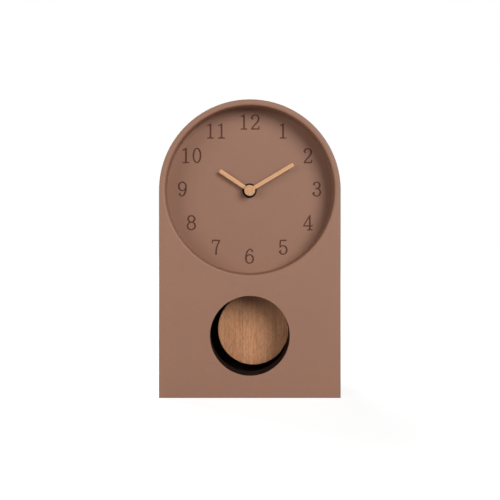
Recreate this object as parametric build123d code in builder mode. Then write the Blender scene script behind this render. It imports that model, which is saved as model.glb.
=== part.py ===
"""Desk pendulum clock: an arch-topped board case with a sunk dial, and a battery movement that turns
the hands through a gear train and keeps a wooden pendulum swinging behind a round window.

Millimetres, +Z up. The front faces -Y and the origin is under the middle of the case.
Depths are measured from the front face towards the back.
"""
import os
from math import cos, radians, sin

from build123d import *

# Case
CASE_WIDTH = 146.0
CASE_HEIGHT = 240.0
CASE_DEPTH = 70.0
RIM_WIDTH = 5.0
FRONT_BOARD = 18.0
DIAL_BOARD = 4.0
FRAME_WALL = 9.0
BACK_PANEL = 4.0
BACK_INSET = 2.0
REBATE_WIDTH = 6.0
PANEL_CLEARANCE = 0.3
BASE_BOARD = 6.0
BASE_STEP = 3.0
FRONT_EDGE_CHAMFER = 0.9
DIAL_EDGE_CHAMFER = 0.6
WINDOW_RADIUS = 32.0
WINDOW_RISE = 0.5
WINDOW_STEP = 1.0

# Way in at the back
ACCESS_WIDTH = 76.0
ACCESS_HEIGHT = 96.0
ACCESS_DROP = 11.0
ACCESS_CORNER = 12.0

# Hub, hands and what clamps the movement to the dial
BUSH_RADIUS = 4.0
BUSH_PROUD = 3.4
BUSH_CLEARANCE = 0.1
GASKET = 1.0
GASKET_WIDTH = 18.0
WASHER = 0.5
WASHER_RADIUS = 6.0
NUT = 2.4
NUT_ACROSS_FLATS = 10.0
HOUR_PIPE_RADIUS = 2.5
HOUR_PIPE_PROUD = 1.5
MINUTE_ARBOR_RADIUS = 1.6
CLUTCH_RADIUS = 1.2
RUNNING_CLEARANCE = 0.05
SEAT_CLEARANCE = 0.02
HAND_WIDTH = 3.2
HAND = 1.0
HAND_TIP_ROUND = 1.0
HOUR_HAND_LENGTH = 29.5
HOUR_HAND_HUB = 4.2
HOUR_HAND_LIFT = 0.4
HOUR_HAND_ANGLE = 303.6
MINUTE_HAND_LENGTH = 41.8
MINUTE_HAND_HUB = 3.4
MINUTE_HAND_LIFT = 1.1
MINUTE_HAND_ANGLE = 59.2
CAP_RADIUS = 4.45
CAP = 2.0
CAP_EDGE_CHAMFER = 0.4
CAP_GRIP = 1.0

# Movement housing, measured from the dial centre
HOUSING_WALL = 1.5
HOUSING_HALF_WIDTH = 28.0
HOUSING_ABOVE = 28.0
TRAIN_ROOM_BELOW = 27.2
BATTERY_ROOM = 15.8
DRIVE_HALF_WIDTH = 17.0
DRIVE_HEIGHT = 20.0
HOUSING_CORNER = 2.5
COVER_CHAMFER = 0.8
ROTOR_ROOM = 1.5
SEAT_BOSS = 3.0

# Gear train, with the tooth form in modules
WHEEL = 1.0
LEVEL_PITCH = 2.0
LEVEL_START = 0.5
PINION_OVERHANG = 0.2
WHEEL_TOOTH = {"addendum": 1.0, "dedendum": 1.35}
PINION_TOOTH = {"addendum": 0.95, "dedendum": 1.4}
CANNON_TEETH = 8
MINUTE_WHEEL_TEETH = 24
MINUTE_PINION_TEETH = 8
HOUR_WHEEL_TEETH = 32
SETTING_TEETH = 8
MOTION_DISTANCE = 10.0
MOTION_DIRECTION = 180.0
SETTING_DIRECTION = 233.0
POST_RADIUS = 1.0
ROTOR_TEETH = 6
FIFTH_WHEEL_TEETH = 36
FIFTH_PINION_TEETH = 6
SECOND_WHEEL_TEETH = 30
SECOND_PINION_TEETH = 6
THIRD_WHEEL_TEETH = 45
THIRD_PINION_TEETH = 6
CENTRE_WHEEL_TEETH = 48
THIRD_DISTANCE = 12.0
THIRD_DIRECTION = 60.0
FIFTH_DISTANCE = 9.6
FIFTH_DIRECTION = -60.0
ROTOR_DISTANCE = 9.8
ROTOR_DIRECTION = -20.0
PIN_RADIUS = 0.5
SETTING_ARBOR_RADIUS = 1.0
SETTING_BOSS = 4.0
KNOB_RADIUS = 6.3
KNOB = 4.5
KNOB_GAP = 0.4
KNOB_GRIP = 3.5
KNOB_RIDGES = 20
KNOB_RIDGE = {"addendum": 0.4, "dedendum": 0.4}

# Stepping motor and circuit
MAGNET_RADIUS = 3.0
MAGNET_GAP = 0.5
STATOR = 0.8
STATOR_LIFT = 0.9
STATOR_LENGTH = 24.0
POLE_WIDTH = 9.0
POLE_NOTCH = 0.8
STATOR_ARM = 4.0
CORE_OFFSET = 8.5
CORE_WIDTH = 4.0
COIL_WIDTH = 6.0
COIL_THICKNESS = 3.4
COIL_LENGTH = 15.0
BOARD_WIDTH = 21.0
BOARD_HEIGHT = 11.0
BOARD = 1.0
BOARD_EDGE_GAP = 0.6
CRYSTAL_RADIUS = 1.0
CRYSTAL_LENGTH = 6.0

# Battery, size AA, and its contacts
CELL_RADIUS = 7.1
CELL_LENGTH = 50.5
CELL_NUB = 1.5
CELL_NUB_RADIUS = 2.75
CELL_CLEARANCE = 0.2
CONTACT = 0.35
CONTACT_HEIGHT = 11.0
CONTACT_WIDTH = 7.0
CONTACT_CLEARANCE = 0.03

# Pendulum, measured down from its pivot
PENDULUM_DEPTH = 34.5
PIVOT_INSET = 4.5
PIVOT_RADIUS = 1.0
PIVOT_SOCKET = 5.0
PIVOT_BOSS = 4.4
SWING_AT_REST = 3.0
HANGER = 2.5
HANGER_HUB_RADIUS = 3.0
HANGER_PLAY = 0.2
DRIVE_MAGNET_DROP = 9.0
DRIVE_MAGNET_WIDTH = 7.0
DRIVE_MAGNET_RIM = 1.0
DRIVE_COIL_RADIUS = 6.0
DRIVE_COIL_BORE = 2.5
DRIVE_GAP = 0.9
PEG_DROP = 18.5
PEG_RADIUS = 1.2
PEG_PROUD = 0.8
PEG_CLEARANCE = 0.15
ROD = 1.2
ROD_WIDTH = 5.0
ROD_END = 2.8
ROD_CORNER = 1.2
ROD_GRIP = 10.0
BOB_RISE = 0.5
BOB_RADIUS = 30.0
BOB = 9.0
BOB_EDGE_CHAMFER = 0.6

# Worked out from the sizes above
half_width = CASE_WIDTH / 2
dial_height = CASE_HEIGHT - half_width
dial_radius = half_width - RIM_WIDTH
dial_back = FRONT_BOARD + DIAL_BOARD
window_height = (dial_height - dial_radius) / 2 + WINDOW_RISE
inner_half_width = half_width - FRAME_WALL
rebate_half_width = inner_half_width + REBATE_WIDTH
panel_back = CASE_DEPTH - BACK_INSET
panel_front = panel_back - BACK_PANEL
rebate_foot = BASE_BOARD - BASE_STEP
dial_centre = (0, dial_height)

housing_front = dial_back + GASKET
front_inside = housing_front + HOUSING_WALL
bush_front = FRONT_BOARD - BUSH_PROUD
hour_pipe_front = bush_front - HOUR_PIPE_PROUD
hour_hand_back = bush_front - HOUR_HAND_LIFT
minute_hand_back = hour_hand_back - HAND - MINUTE_HAND_LIFT
minute_hand_front = minute_hand_back - HAND
arbor_front = minute_hand_front - CAP_GRIP

hanger_back = PENDULUM_DEPTH - ROD / 2 - HANGER_PLAY
hanger_front = hanger_back - HANGER
drive_coil_back = hanger_front - DRIVE_GAP


def level(number):
    """Depth of the front of the wheel on one of the train's levels, counted from the dial."""
    return front_inside + LEVEL_START + LEVEL_PITCH * number


HOUR_LEVEL, MINUTE_LEVEL, CENTRE_LEVEL, THIRD_LEVEL, SECOND_LEVEL, FIFTH_LEVEL, MAGNET_LEVEL = range(7)
back_inside = level(MAGNET_LEVEL) + ROTOR_ROOM
housing_back = back_inside + HOUSING_WALL
parting = (housing_front + housing_back) / 2
stator_back = back_inside - STATOR_LIFT
stator_front = stator_back - STATOR
core_front = stator_front - STATOR
board_front = stator_back - BOARD
cell_depth = front_inside + CELL_CLEARANCE + CELL_RADIUS
cell_drop = TRAIN_ROOM_BELOW + HOUSING_WALL + BATTERY_ROOM / 2
housing_below = TRAIN_ROOM_BELOW + BATTERY_ROOM + 2 * HOUSING_WALL


def around(place, distance, degrees):
    """The point at a distance and direction from another, seen from the front."""
    return (
        place[0] + distance * cos(radians(degrees)),
        place[1] + distance * sin(radians(degrees)),
    )


minute_wheel_axis = around(dial_centre, MOTION_DISTANCE, MOTION_DIRECTION)
setting_axis = around(minute_wheel_axis, MOTION_DISTANCE, SETTING_DIRECTION)
third_axis = around(dial_centre, THIRD_DISTANCE, THIRD_DIRECTION)
fifth_axis = around(dial_centre, FIFTH_DISTANCE, FIFTH_DIRECTION)
rotor_axis = around(fifth_axis, ROTOR_DISTANCE, ROTOR_DIRECTION)
pivot = (0, dial_height - housing_below - PIVOT_INSET)
bob_drop = pivot[1] - window_height - BOB_RISE
core_place = (rotor_axis[0] + CORE_OFFSET, rotor_axis[1])
board_place = (
    -HOUSING_HALF_WIDTH + HOUSING_WALL + BOARD_EDGE_GAP + BOARD_WIDTH / 2,
    dial_height - TRAIN_ROOM_BELOW + BOARD_EDGE_GAP + BOARD_HEIGHT / 2,
)
stator_seats = [
    (core_place[0], core_place[1] + side * (STATOR_LENGTH - STATOR_ARM) / 2) for side in (-1, 1)
]
board_seats = [(board_place[0] + side * BOARD_WIDTH / 4, board_place[1]) for side in (-1, 1)]


def front_plane(depth, place=(0, 0)):
    """Upright plane at a depth, facing the viewer, with its origin at a point of the front view."""
    return Plane(origin=(place[0], depth - CASE_DEPTH / 2, place[1]), x_dir=(1, 0, 0), z_dir=(0, -1, 0))


def hand_plane(depth, angle):
    """Plane of a clock hand, with local Y along the hand at an angle clockwise from twelve."""
    turn = radians(angle)
    origin = (0, depth - CASE_DEPTH / 2, dial_height)
    return Plane(origin=origin, x_dir=(cos(turn), 0, -sin(turn)), z_dir=(0, -1, 0))


def swing_plane(depth):
    """Plane of the pendulum where it hangs in the rest pose, with its origin at the pivot."""
    turn = radians(SWING_AT_REST)
    origin = (0, depth - CASE_DEPTH / 2, pivot[1])
    return Plane(origin=origin, x_dir=(cos(turn), 0, sin(turn)), z_dir=(0, -1, 0))


def arch(half, foot):
    """Arch outline about the dial centre: two legs down to the foot and a half circle on top."""
    with BuildSketch() as outline:
        with BuildLine():
            Polyline((-half, dial_height), (-half, foot), (half, foot), (half, dial_height))
            ThreePointArc((half, dial_height), (0, dial_height + half), (-half, dial_height))
        make_face()
    return outline.sketch


def gear(teeth, module, phase, tooth):
    """Outline of a wheel with pointed teeth, one of them in the phase's direction."""
    pitch = 360 / teeth
    root_radius = module * (teeth / 2 - tooth["dedendum"])
    tip_radius = module * (teeth / 2 + tooth["addendum"])
    corners = []
    for number in range(teeth):
        middle = phase + number * pitch
        corners.append(around((0, 0), tip_radius, middle))
        corners.append(around((0, 0), root_radius, middle + pitch / 2))
    with BuildSketch() as outline:
        with BuildLine():
            Polyline(*corners, close=True)
        make_face()
    return outline.sketch


def module_of(distance, teeth, other_teeth):
    """Module that puts two meshed gears at the given centre distance."""
    return 2 * distance / (teeth + other_teeth)


def meshed_phase(teeth, phase, other_teeth, direction):
    """Phase of the other gear, so that its gap meets the first gear's tooth in that direction."""
    return direction + 180 - (phase - direction) * teeth / other_teeth - 180 / other_teeth


def housing_outline():
    """Outline of both halves of the movement: a square body with the pendulum drive under it."""
    body_height = HOUSING_ABOVE + housing_below
    with BuildSketch() as outline:
        with Locations((0, HOUSING_ABOVE - body_height / 2)):
            Rectangle(2 * HOUSING_HALF_WIDTH, body_height)
        with Locations((0, -housing_below)):
            Rectangle(2 * DRIVE_HALF_WIDTH, 2 * DRIVE_HEIGHT)
        chamfer(outline.vertices(), HOUSING_CORNER)
    return outline.sketch


def train_room():
    """Inside of the chamber that holds the gears."""
    height = HOUSING_ABOVE - HOUSING_WALL + TRAIN_ROOM_BELOW
    with BuildSketch() as outline:
        with Locations((0, height / 2 - TRAIN_ROOM_BELOW)):
            Rectangle(2 * (HOUSING_HALF_WIDTH - HOUSING_WALL), height)
    return outline.sketch


def battery_room():
    """Inside of the battery bay."""
    with BuildSketch() as outline:
        with Locations((0, -cell_drop)):
            Rectangle(2 * (HOUSING_HALF_WIDTH - HOUSING_WALL), BATTERY_ROOM)
    return outline.sketch


def drive_room():
    """Inside of the pendulum drive, open at the bottom."""
    with BuildSketch() as outline:
        with Locations((0, -housing_below)):
            Rectangle(
                2 * (DRIVE_HALF_WIDTH - HOUSING_WALL), 2 * DRIVE_HEIGHT, align=(Align.CENTER, Align.MAX)
            )
    return outline.sketch


def finish(builder, name):
    """Names a finished piece and writes its file."""
    builder.part.label = name
    export_step(builder.part, f"parts/{name}.step")


os.makedirs("parts", exist_ok=True)

# Front board: the thick face with the dial opening and the pendulum window
with BuildPart() as front_board:
    with BuildSketch(front_plane(FRONT_BOARD)):
        add(arch(half_width, 0))
        with Locations(dial_centre):
            Circle(dial_radius, mode=Mode.SUBTRACT)
        with Locations((0, window_height)):
            Circle(WINDOW_RADIUS, mode=Mode.SUBTRACT)
    extrude(amount=FRONT_BOARD)
    front_face = front_board.faces().sort_by(Axis.Y)[0]
    dial_wire = front_face.inner_wires().sort_by(SortBy.LENGTH)[-1]
    outer_edges = front_face.outer_wire().edges()
    chamfer(outer_edges, FRONT_EDGE_CHAMFER)
    chamfer(dial_wire.edges(), DIAL_EDGE_CHAMFER)
finish(front_board, "front_board")

# Dial board: the thin board behind it, which shows as the sunk dial
with BuildPart() as dial_board:
    with BuildSketch(front_plane(dial_back)):
        add(arch(half_width, 0))
        with Locations(dial_centre):
            Circle(BUSH_RADIUS + BUSH_CLEARANCE, mode=Mode.SUBTRACT)
        with Locations((0, window_height)):
            Circle(WINDOW_RADIUS + WINDOW_STEP, mode=Mode.SUBTRACT)
    extrude(amount=DIAL_BOARD)
finish(dial_board, "dial_board")

# Case frame: side walls and arch in one bent hoop, with a rebate for the back panel
with BuildPart() as case_frame:
    with BuildSketch(front_plane(CASE_DEPTH)):
        add(arch(half_width, 0))
        add(arch(inner_half_width, 0), mode=Mode.SUBTRACT)
    extrude(amount=CASE_DEPTH - dial_back)
    with BuildSketch(front_plane(CASE_DEPTH)):
        add(arch(rebate_half_width, rebate_foot))
    extrude(amount=CASE_DEPTH - panel_front, mode=Mode.SUBTRACT)
finish(case_frame, "case_frame")

# Base board: floor between the side walls, stepped at the back for the panel
with BuildPart() as base_board:
    with BuildSketch(Plane.YZ):
        with BuildLine():
            Polyline(
                (dial_back - CASE_DEPTH / 2, 0),
                (CASE_DEPTH / 2, 0),
                (CASE_DEPTH / 2, rebate_foot),
                (panel_front - CASE_DEPTH / 2, rebate_foot),
                (panel_front - CASE_DEPTH / 2, BASE_BOARD),
                (dial_back - CASE_DEPTH / 2, BASE_BOARD),
                close=True,
            )
        make_face()
    extrude(amount=inner_half_width, both=True)
finish(base_board, "base_board")

# Back panel: lies in the rebate, with a way in to the battery and the setting knob
with BuildPart() as back_panel:
    with BuildSketch(front_plane(panel_back)):
        add(arch(rebate_half_width - PANEL_CLEARANCE, rebate_foot + PANEL_CLEARANCE))
        with Locations((0, dial_height - ACCESS_DROP)):
            RectangleRounded(ACCESS_WIDTH, ACCESS_HEIGHT, ACCESS_CORNER, mode=Mode.SUBTRACT)
    extrude(amount=BACK_PANEL)
finish(back_panel, "back_panel")

# Gasket, washer and nut: they clamp the dial board against the movement
gasket_hole = 2 * (BUSH_RADIUS + BUSH_CLEARANCE)
with BuildPart() as gasket:
    with BuildSketch(front_plane(housing_front, dial_centre)):
        Rectangle(GASKET_WIDTH, GASKET_WIDTH)
        Rectangle(gasket_hole, gasket_hole, mode=Mode.SUBTRACT)
    extrude(amount=GASKET)
finish(gasket, "gasket")

with BuildPart() as dial_washer:
    with BuildSketch(front_plane(FRONT_BOARD, dial_centre)):
        Circle(WASHER_RADIUS)
        Circle(BUSH_RADIUS + BUSH_CLEARANCE, mode=Mode.SUBTRACT)
    extrude(amount=WASHER)
finish(dial_washer, "dial_washer")

with BuildPart() as dial_nut:
    with BuildSketch(front_plane(FRONT_BOARD - WASHER, dial_centre)):
        RegularPolygon(NUT_ACROSS_FLATS / 2, 6, major_radius=False)
        Circle(BUSH_RADIUS + RUNNING_CLEARANCE, mode=Mode.SUBTRACT)
    extrude(amount=NUT)
finish(dial_nut, "dial_nut")

# Movement housing: front half, with the threaded bush that passes through the dial
with BuildPart() as movement_housing:
    with BuildSketch(front_plane(parting, dial_centre)):
        add(housing_outline())
    extrude(amount=parting - housing_front)
    with BuildSketch(front_plane(parting, dial_centre)):
        add(train_room())
        add(battery_room())
        add(drive_room())
    extrude(amount=parting - front_inside, mode=Mode.SUBTRACT)
    with BuildSketch(front_plane(housing_front, dial_centre)):
        Circle(BUSH_RADIUS)
    extrude(amount=housing_front - bush_front)
    with BuildSketch(front_plane(level(MINUTE_LEVEL) + WHEEL, minute_wheel_axis)):
        Circle(POST_RADIUS)
    extrude(amount=level(MINUTE_LEVEL) + WHEEL - front_inside)
    setting_boss_back = level(MINUTE_LEVEL) - 2 * PINION_OVERHANG
    with BuildSketch(front_plane(setting_boss_back, setting_axis)):
        Rectangle(SETTING_BOSS, SETTING_BOSS)
        Circle(SETTING_ARBOR_RADIUS + RUNNING_CLEARANCE, mode=Mode.SUBTRACT)
    extrude(amount=setting_boss_back - front_inside)
    pivot_boss_back = hanger_front - HANGER_PLAY
    with BuildSketch(front_plane(pivot_boss_back, pivot)):
        Rectangle(PIVOT_BOSS, PIVOT_BOSS)
    extrude(amount=pivot_boss_back - front_inside)
    with BuildSketch(front_plane(pivot_boss_back, pivot)):
        Circle(PIVOT_RADIUS + SEAT_CLEARANCE)
    extrude(amount=PIVOT_SOCKET, mode=Mode.SUBTRACT)
    with BuildSketch(front_plane(front_inside, dial_centre)):
        Circle(HOUR_PIPE_RADIUS + RUNNING_CLEARANCE)
    extrude(amount=front_inside - bush_front, mode=Mode.SUBTRACT)
finish(movement_housing, "movement_housing")

# Movement cover: back half, open over the battery
with BuildPart() as movement_cover:
    with BuildSketch(front_plane(housing_back, dial_centre)):
        add(housing_outline())
    extrude(amount=housing_back - parting)
    chamfer(movement_cover.faces().sort_by(Axis.Y)[-1].outer_wire().edges(), COVER_CHAMFER)
    with BuildSketch(front_plane(back_inside, dial_centre)):
        add(train_room())
        add(drive_room())
    extrude(amount=back_inside - parting, mode=Mode.SUBTRACT)
    with BuildSketch(front_plane(housing_back, dial_centre)):
        add(battery_room())
    extrude(amount=housing_back - parting, mode=Mode.SUBTRACT)
    with BuildSketch(front_plane(back_inside)):
        with Locations(*stator_seats, *board_seats):
            Rectangle(SEAT_BOSS, SEAT_BOSS)
    extrude(amount=STATOR_LIFT)
    pivot_boss_front = hanger_back + HANGER_PLAY
    with BuildSketch(front_plane(back_inside, pivot)):
        Rectangle(PIVOT_BOSS, PIVOT_BOSS)
    extrude(amount=back_inside - pivot_boss_front)
    with BuildSketch(front_plane(housing_back, setting_axis)):
        Rectangle(SETTING_BOSS, SETTING_BOSS)
    extrude(amount=HOUSING_WALL + STATOR_LIFT)
    with BuildSketch(front_plane(housing_back, setting_axis)):
        Circle(SETTING_ARBOR_RADIUS + RUNNING_CLEARANCE)
    extrude(amount=HOUSING_WALL + STATOR_LIFT, mode=Mode.SUBTRACT)
finish(movement_cover, "movement_cover")

# Motion work: hour wheel with its pipe, minute arbor with the cannon pinion
hour_module = module_of(MOTION_DISTANCE, MINUTE_PINION_TEETH, HOUR_WHEEL_TEETH)
minute_module = module_of(MOTION_DISTANCE, CANNON_TEETH, MINUTE_WHEEL_TEETH)
cannon_phase = MOTION_DIRECTION
minute_phase = meshed_phase(CANNON_TEETH, cannon_phase, MINUTE_WHEEL_TEETH, MOTION_DIRECTION)
hour_phase = MOTION_DIRECTION
minute_pinion_phase = meshed_phase(HOUR_WHEEL_TEETH, hour_phase, MINUTE_PINION_TEETH, MOTION_DIRECTION)
setting_phase = meshed_phase(MINUTE_WHEEL_TEETH, minute_phase, SETTING_TEETH, SETTING_DIRECTION)

with BuildPart() as hour_wheel:
    with BuildSketch(front_plane(level(HOUR_LEVEL) + WHEEL, dial_centre)):
        add(gear(HOUR_WHEEL_TEETH, hour_module, hour_phase, WHEEL_TOOTH))
    extrude(amount=WHEEL)
    with BuildSketch(front_plane(level(HOUR_LEVEL), dial_centre)):
        Circle(HOUR_PIPE_RADIUS)
    extrude(amount=level(HOUR_LEVEL) - hour_pipe_front)
    with BuildSketch(front_plane(level(HOUR_LEVEL) + WHEEL, dial_centre)):
        Circle(MINUTE_ARBOR_RADIUS + RUNNING_CLEARANCE)
    extrude(amount=level(HOUR_LEVEL) + WHEEL - hour_pipe_front, mode=Mode.SUBTRACT)
finish(hour_wheel, "hour_wheel")

cannon_front = level(MINUTE_LEVEL) - PINION_OVERHANG
cannon_back = level(MINUTE_LEVEL) + WHEEL + PINION_OVERHANG
clutch_back = level(CENTRE_LEVEL) + WHEEL + PINION_OVERHANG
with BuildPart() as minute_arbor:
    with BuildSketch(front_plane(cannon_back, dial_centre)):
        add(gear(CANNON_TEETH, minute_module, cannon_phase, PINION_TOOTH))
    extrude(amount=cannon_back - cannon_front)
    with BuildSketch(front_plane(cannon_front, dial_centre)):
        Circle(MINUTE_ARBOR_RADIUS)
    extrude(amount=cannon_front - arbor_front)
    with BuildSketch(front_plane(clutch_back, dial_centre)):
        Circle(CLUTCH_RADIUS)
    extrude(amount=clutch_back - cannon_back)
finish(minute_arbor, "minute_arbor")

# Going train: the rotor drives the fifth wheel, and so on up to the centre wheel on the minute arbor
fifth_module = module_of(ROTOR_DISTANCE, ROTOR_TEETH, FIFTH_WHEEL_TEETH)
second_module = module_of(FIFTH_DISTANCE, FIFTH_PINION_TEETH, SECOND_WHEEL_TEETH)
third_module = module_of(THIRD_DISTANCE, SECOND_PINION_TEETH, THIRD_WHEEL_TEETH)
centre_module = module_of(THIRD_DISTANCE, THIRD_PINION_TEETH, CENTRE_WHEEL_TEETH)
rotor_phase = ROTOR_DIRECTION + 180
fifth_phase = meshed_phase(ROTOR_TEETH, rotor_phase, FIFTH_WHEEL_TEETH, ROTOR_DIRECTION + 180)
fifth_pinion_phase = FIFTH_DIRECTION + 180
second_phase = meshed_phase(
    FIFTH_PINION_TEETH, fifth_pinion_phase, SECOND_WHEEL_TEETH, FIFTH_DIRECTION + 180
)
second_pinion_phase = THIRD_DIRECTION
third_phase = meshed_phase(SECOND_PINION_TEETH, second_pinion_phase, THIRD_WHEEL_TEETH, THIRD_DIRECTION)
third_pinion_phase = THIRD_DIRECTION + 180
centre_phase = meshed_phase(
    THIRD_PINION_TEETH, third_pinion_phase, CENTRE_WHEEL_TEETH, THIRD_DIRECTION + 180
)

# Wheels that carry a pinion on their front, one level nearer the dial:
# level, axis, bore, wheel teeth, module and phase, pinion teeth, module and phase
compound_wheels = {
    "minute_wheel": (
        MINUTE_LEVEL, minute_wheel_axis, POST_RADIUS + RUNNING_CLEARANCE,
        MINUTE_WHEEL_TEETH, minute_module, minute_phase,
        MINUTE_PINION_TEETH, hour_module, minute_pinion_phase,
    ),
    "third_wheel": (
        THIRD_LEVEL, third_axis, PIN_RADIUS + RUNNING_CLEARANCE,
        THIRD_WHEEL_TEETH, third_module, third_phase,
        THIRD_PINION_TEETH, centre_module, third_pinion_phase,
    ),
    "second_wheel": (
        SECOND_LEVEL, dial_centre, PIN_RADIUS + RUNNING_CLEARANCE,
        SECOND_WHEEL_TEETH, second_module, second_phase,
        SECOND_PINION_TEETH, third_module, second_pinion_phase,
    ),
    "fifth_wheel": (
        FIFTH_LEVEL, fifth_axis, PIN_RADIUS + RUNNING_CLEARANCE,
        FIFTH_WHEEL_TEETH, fifth_module, fifth_phase,
        FIFTH_PINION_TEETH, second_module, fifth_pinion_phase,
    ),
}
for wheel_name, wheel_values in compound_wheels.items():
    number, axis, bore = wheel_values[:3]
    wheel_teeth, wheel_module, wheel_phase = wheel_values[3:6]
    pinion_teeth, pinion_module, pinion_phase = wheel_values[6:]
    pinion_length = LEVEL_PITCH + PINION_OVERHANG
    with BuildPart() as compound_wheel:
        with BuildSketch(front_plane(level(number) + WHEEL, axis)):
            add(gear(wheel_teeth, wheel_module, wheel_phase, WHEEL_TOOTH))
        extrude(amount=WHEEL)
        with BuildSketch(front_plane(level(number), axis)):
            add(gear(pinion_teeth, pinion_module, pinion_phase, PINION_TOOTH))
        extrude(amount=pinion_length)
        with BuildSketch(front_plane(level(number) + WHEEL, axis)):
            Circle(bore)
        extrude(amount=WHEEL + pinion_length, mode=Mode.SUBTRACT)
    finish(compound_wheel, wheel_name)

with BuildPart() as centre_wheel:
    with BuildSketch(front_plane(level(CENTRE_LEVEL) + WHEEL, dial_centre)):
        add(gear(CENTRE_WHEEL_TEETH, centre_module, centre_phase, WHEEL_TOOTH))
        Circle(CLUTCH_RADIUS + RUNNING_CLEARANCE, mode=Mode.SUBTRACT)
    extrude(amount=WHEEL)
finish(centre_wheel, "centre_wheel")

rotor_pinion_front = level(FIFTH_LEVEL) - PINION_OVERHANG
magnet_front = level(FIFTH_LEVEL) + WHEEL + LEVEL_START
magnet_back = back_inside - LEVEL_START
with BuildPart() as rotor:
    with BuildSketch(front_plane(magnet_front, rotor_axis)):
        add(gear(ROTOR_TEETH, fifth_module, rotor_phase, PINION_TOOTH))
    extrude(amount=magnet_front - rotor_pinion_front)
    with BuildSketch(front_plane(magnet_back, rotor_axis)):
        Circle(MAGNET_RADIUS)
    extrude(amount=magnet_back - magnet_front)
    with BuildSketch(front_plane(magnet_back, rotor_axis)):
        Circle(PIN_RADIUS + RUNNING_CLEARANCE)
    extrude(amount=magnet_back - rotor_pinion_front, mode=Mode.SUBTRACT)
finish(rotor, "rotor")

# Train pins: steel, standing on the cover, each as long as the wheel that turns on it needs
with BuildPart() as train_pins:
    for pin_axis, pin_front in (
        (third_axis, level(CENTRE_LEVEL) - PINION_OVERHANG),
        (dial_centre, level(THIRD_LEVEL) - PINION_OVERHANG),
        (fifth_axis, level(SECOND_LEVEL) - PINION_OVERHANG),
        (rotor_axis, rotor_pinion_front),
    ):
        with BuildSketch(front_plane(back_inside, pin_axis)):
            Circle(PIN_RADIUS)
        extrude(amount=back_inside - pin_front)
finish(train_pins, "train_pins")

# Hand setting: an arbor whose pinion turns the minute wheel, and the knob behind the cover
setting_front = front_inside + SEAT_CLEARANCE
knob_front = housing_back + KNOB_GAP
with BuildPart() as setting_arbor:
    with BuildSketch(front_plane(cannon_back, setting_axis)):
        add(gear(SETTING_TEETH, minute_module, setting_phase, PINION_TOOTH))
    extrude(amount=cannon_back - cannon_front)
    with BuildSketch(front_plane(knob_front + KNOB_GRIP, setting_axis)):
        Circle(SETTING_ARBOR_RADIUS)
    extrude(amount=knob_front + KNOB_GRIP - setting_front)
finish(setting_arbor, "setting_arbor")

with BuildPart() as setting_knob:
    with BuildSketch(front_plane(knob_front + KNOB, setting_axis)):
        add(gear(KNOB_RIDGES, 2 * KNOB_RADIUS / KNOB_RIDGES, 0, KNOB_RIDGE))
    extrude(amount=KNOB)
    with BuildSketch(front_plane(knob_front + KNOB_GRIP, setting_axis)):
        Circle(SETTING_ARBOR_RADIUS + SEAT_CLEARANCE)
    extrude(amount=KNOB_GRIP, mode=Mode.SUBTRACT)
finish(setting_knob, "setting_knob")

# Stepping motor: stator plate round the rotor, and a core with its winding across the two arms
with BuildPart() as stator:
    with BuildSketch(front_plane(stator_back, rotor_axis)):
        Rectangle(POLE_WIDTH, STATOR_LENGTH)
        for side in (-1, 1):
            with Locations((0, side * (STATOR_LENGTH - STATOR_ARM) / 2)):
                Rectangle(CORE_OFFSET + CORE_WIDTH / 2, STATOR_ARM, align=(Align.MIN, Align.CENTER))
        Circle(MAGNET_RADIUS + MAGNET_GAP, mode=Mode.SUBTRACT)
        with Locations((-POLE_WIDTH / 2, 0), (POLE_WIDTH / 2, 0)):
            RegularPolygon(POLE_NOTCH, 4, mode=Mode.SUBTRACT)
    extrude(amount=STATOR)
finish(stator, "stator")

with BuildPart() as coil_core:
    with BuildSketch(front_plane(stator_front, core_place)):
        Rectangle(CORE_WIDTH, STATOR_LENGTH)
    extrude(amount=STATOR)
finish(coil_core, "coil_core")

core_middle = (core_front + stator_front) / 2 - CASE_DEPTH / 2
with BuildPart() as motor_coil:
    with BuildSketch(Plane((core_place[0], core_middle, core_place[1]))):
        Rectangle(COIL_WIDTH, COIL_THICKNESS)
        Rectangle(
            CORE_WIDTH + 2 * SEAT_CLEARANCE, STATOR + 2 * SEAT_CLEARANCE, mode=Mode.SUBTRACT
        )
    extrude(amount=COIL_LENGTH / 2, both=True)
finish(motor_coil, "motor_coil")

# Circuit board with the quartz crystal lying on it
with BuildPart() as circuit_board:
    with BuildSketch(front_plane(stator_back, board_place)):
        Rectangle(BOARD_WIDTH, BOARD_HEIGHT)
    extrude(amount=BOARD)
finish(circuit_board, "circuit_board")

crystal_depth = board_front - CRYSTAL_RADIUS - SEAT_CLEARANCE
crystal_plane = Plane(
    origin=(board_place[0], crystal_depth - CASE_DEPTH / 2, board_place[1]), z_dir=(1, 0, 0)
)
with BuildPart() as quartz_crystal:
    with BuildSketch(crystal_plane):
        Circle(CRYSTAL_RADIUS)
    extrude(amount=CRYSTAL_LENGTH / 2, both=True)
finish(quartz_crystal, "quartz_crystal")

# Battery: lies across the bay, its nub to the right
cell_start = -CELL_LENGTH / 2
cell_height = dial_height - cell_drop
cell_plane = Plane(origin=(cell_start, cell_depth - CASE_DEPTH / 2, cell_height), z_dir=(1, 0, 0))
with BuildPart() as battery:
    with BuildSketch(cell_plane):
        Circle(CELL_RADIUS)
    extrude(amount=CELL_LENGTH - CELL_NUB)
    with BuildSketch(cell_plane.offset(CELL_LENGTH - CELL_NUB)):
        Circle(CELL_NUB_RADIUS)
    extrude(amount=CELL_NUB)
finish(battery, "battery")

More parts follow.
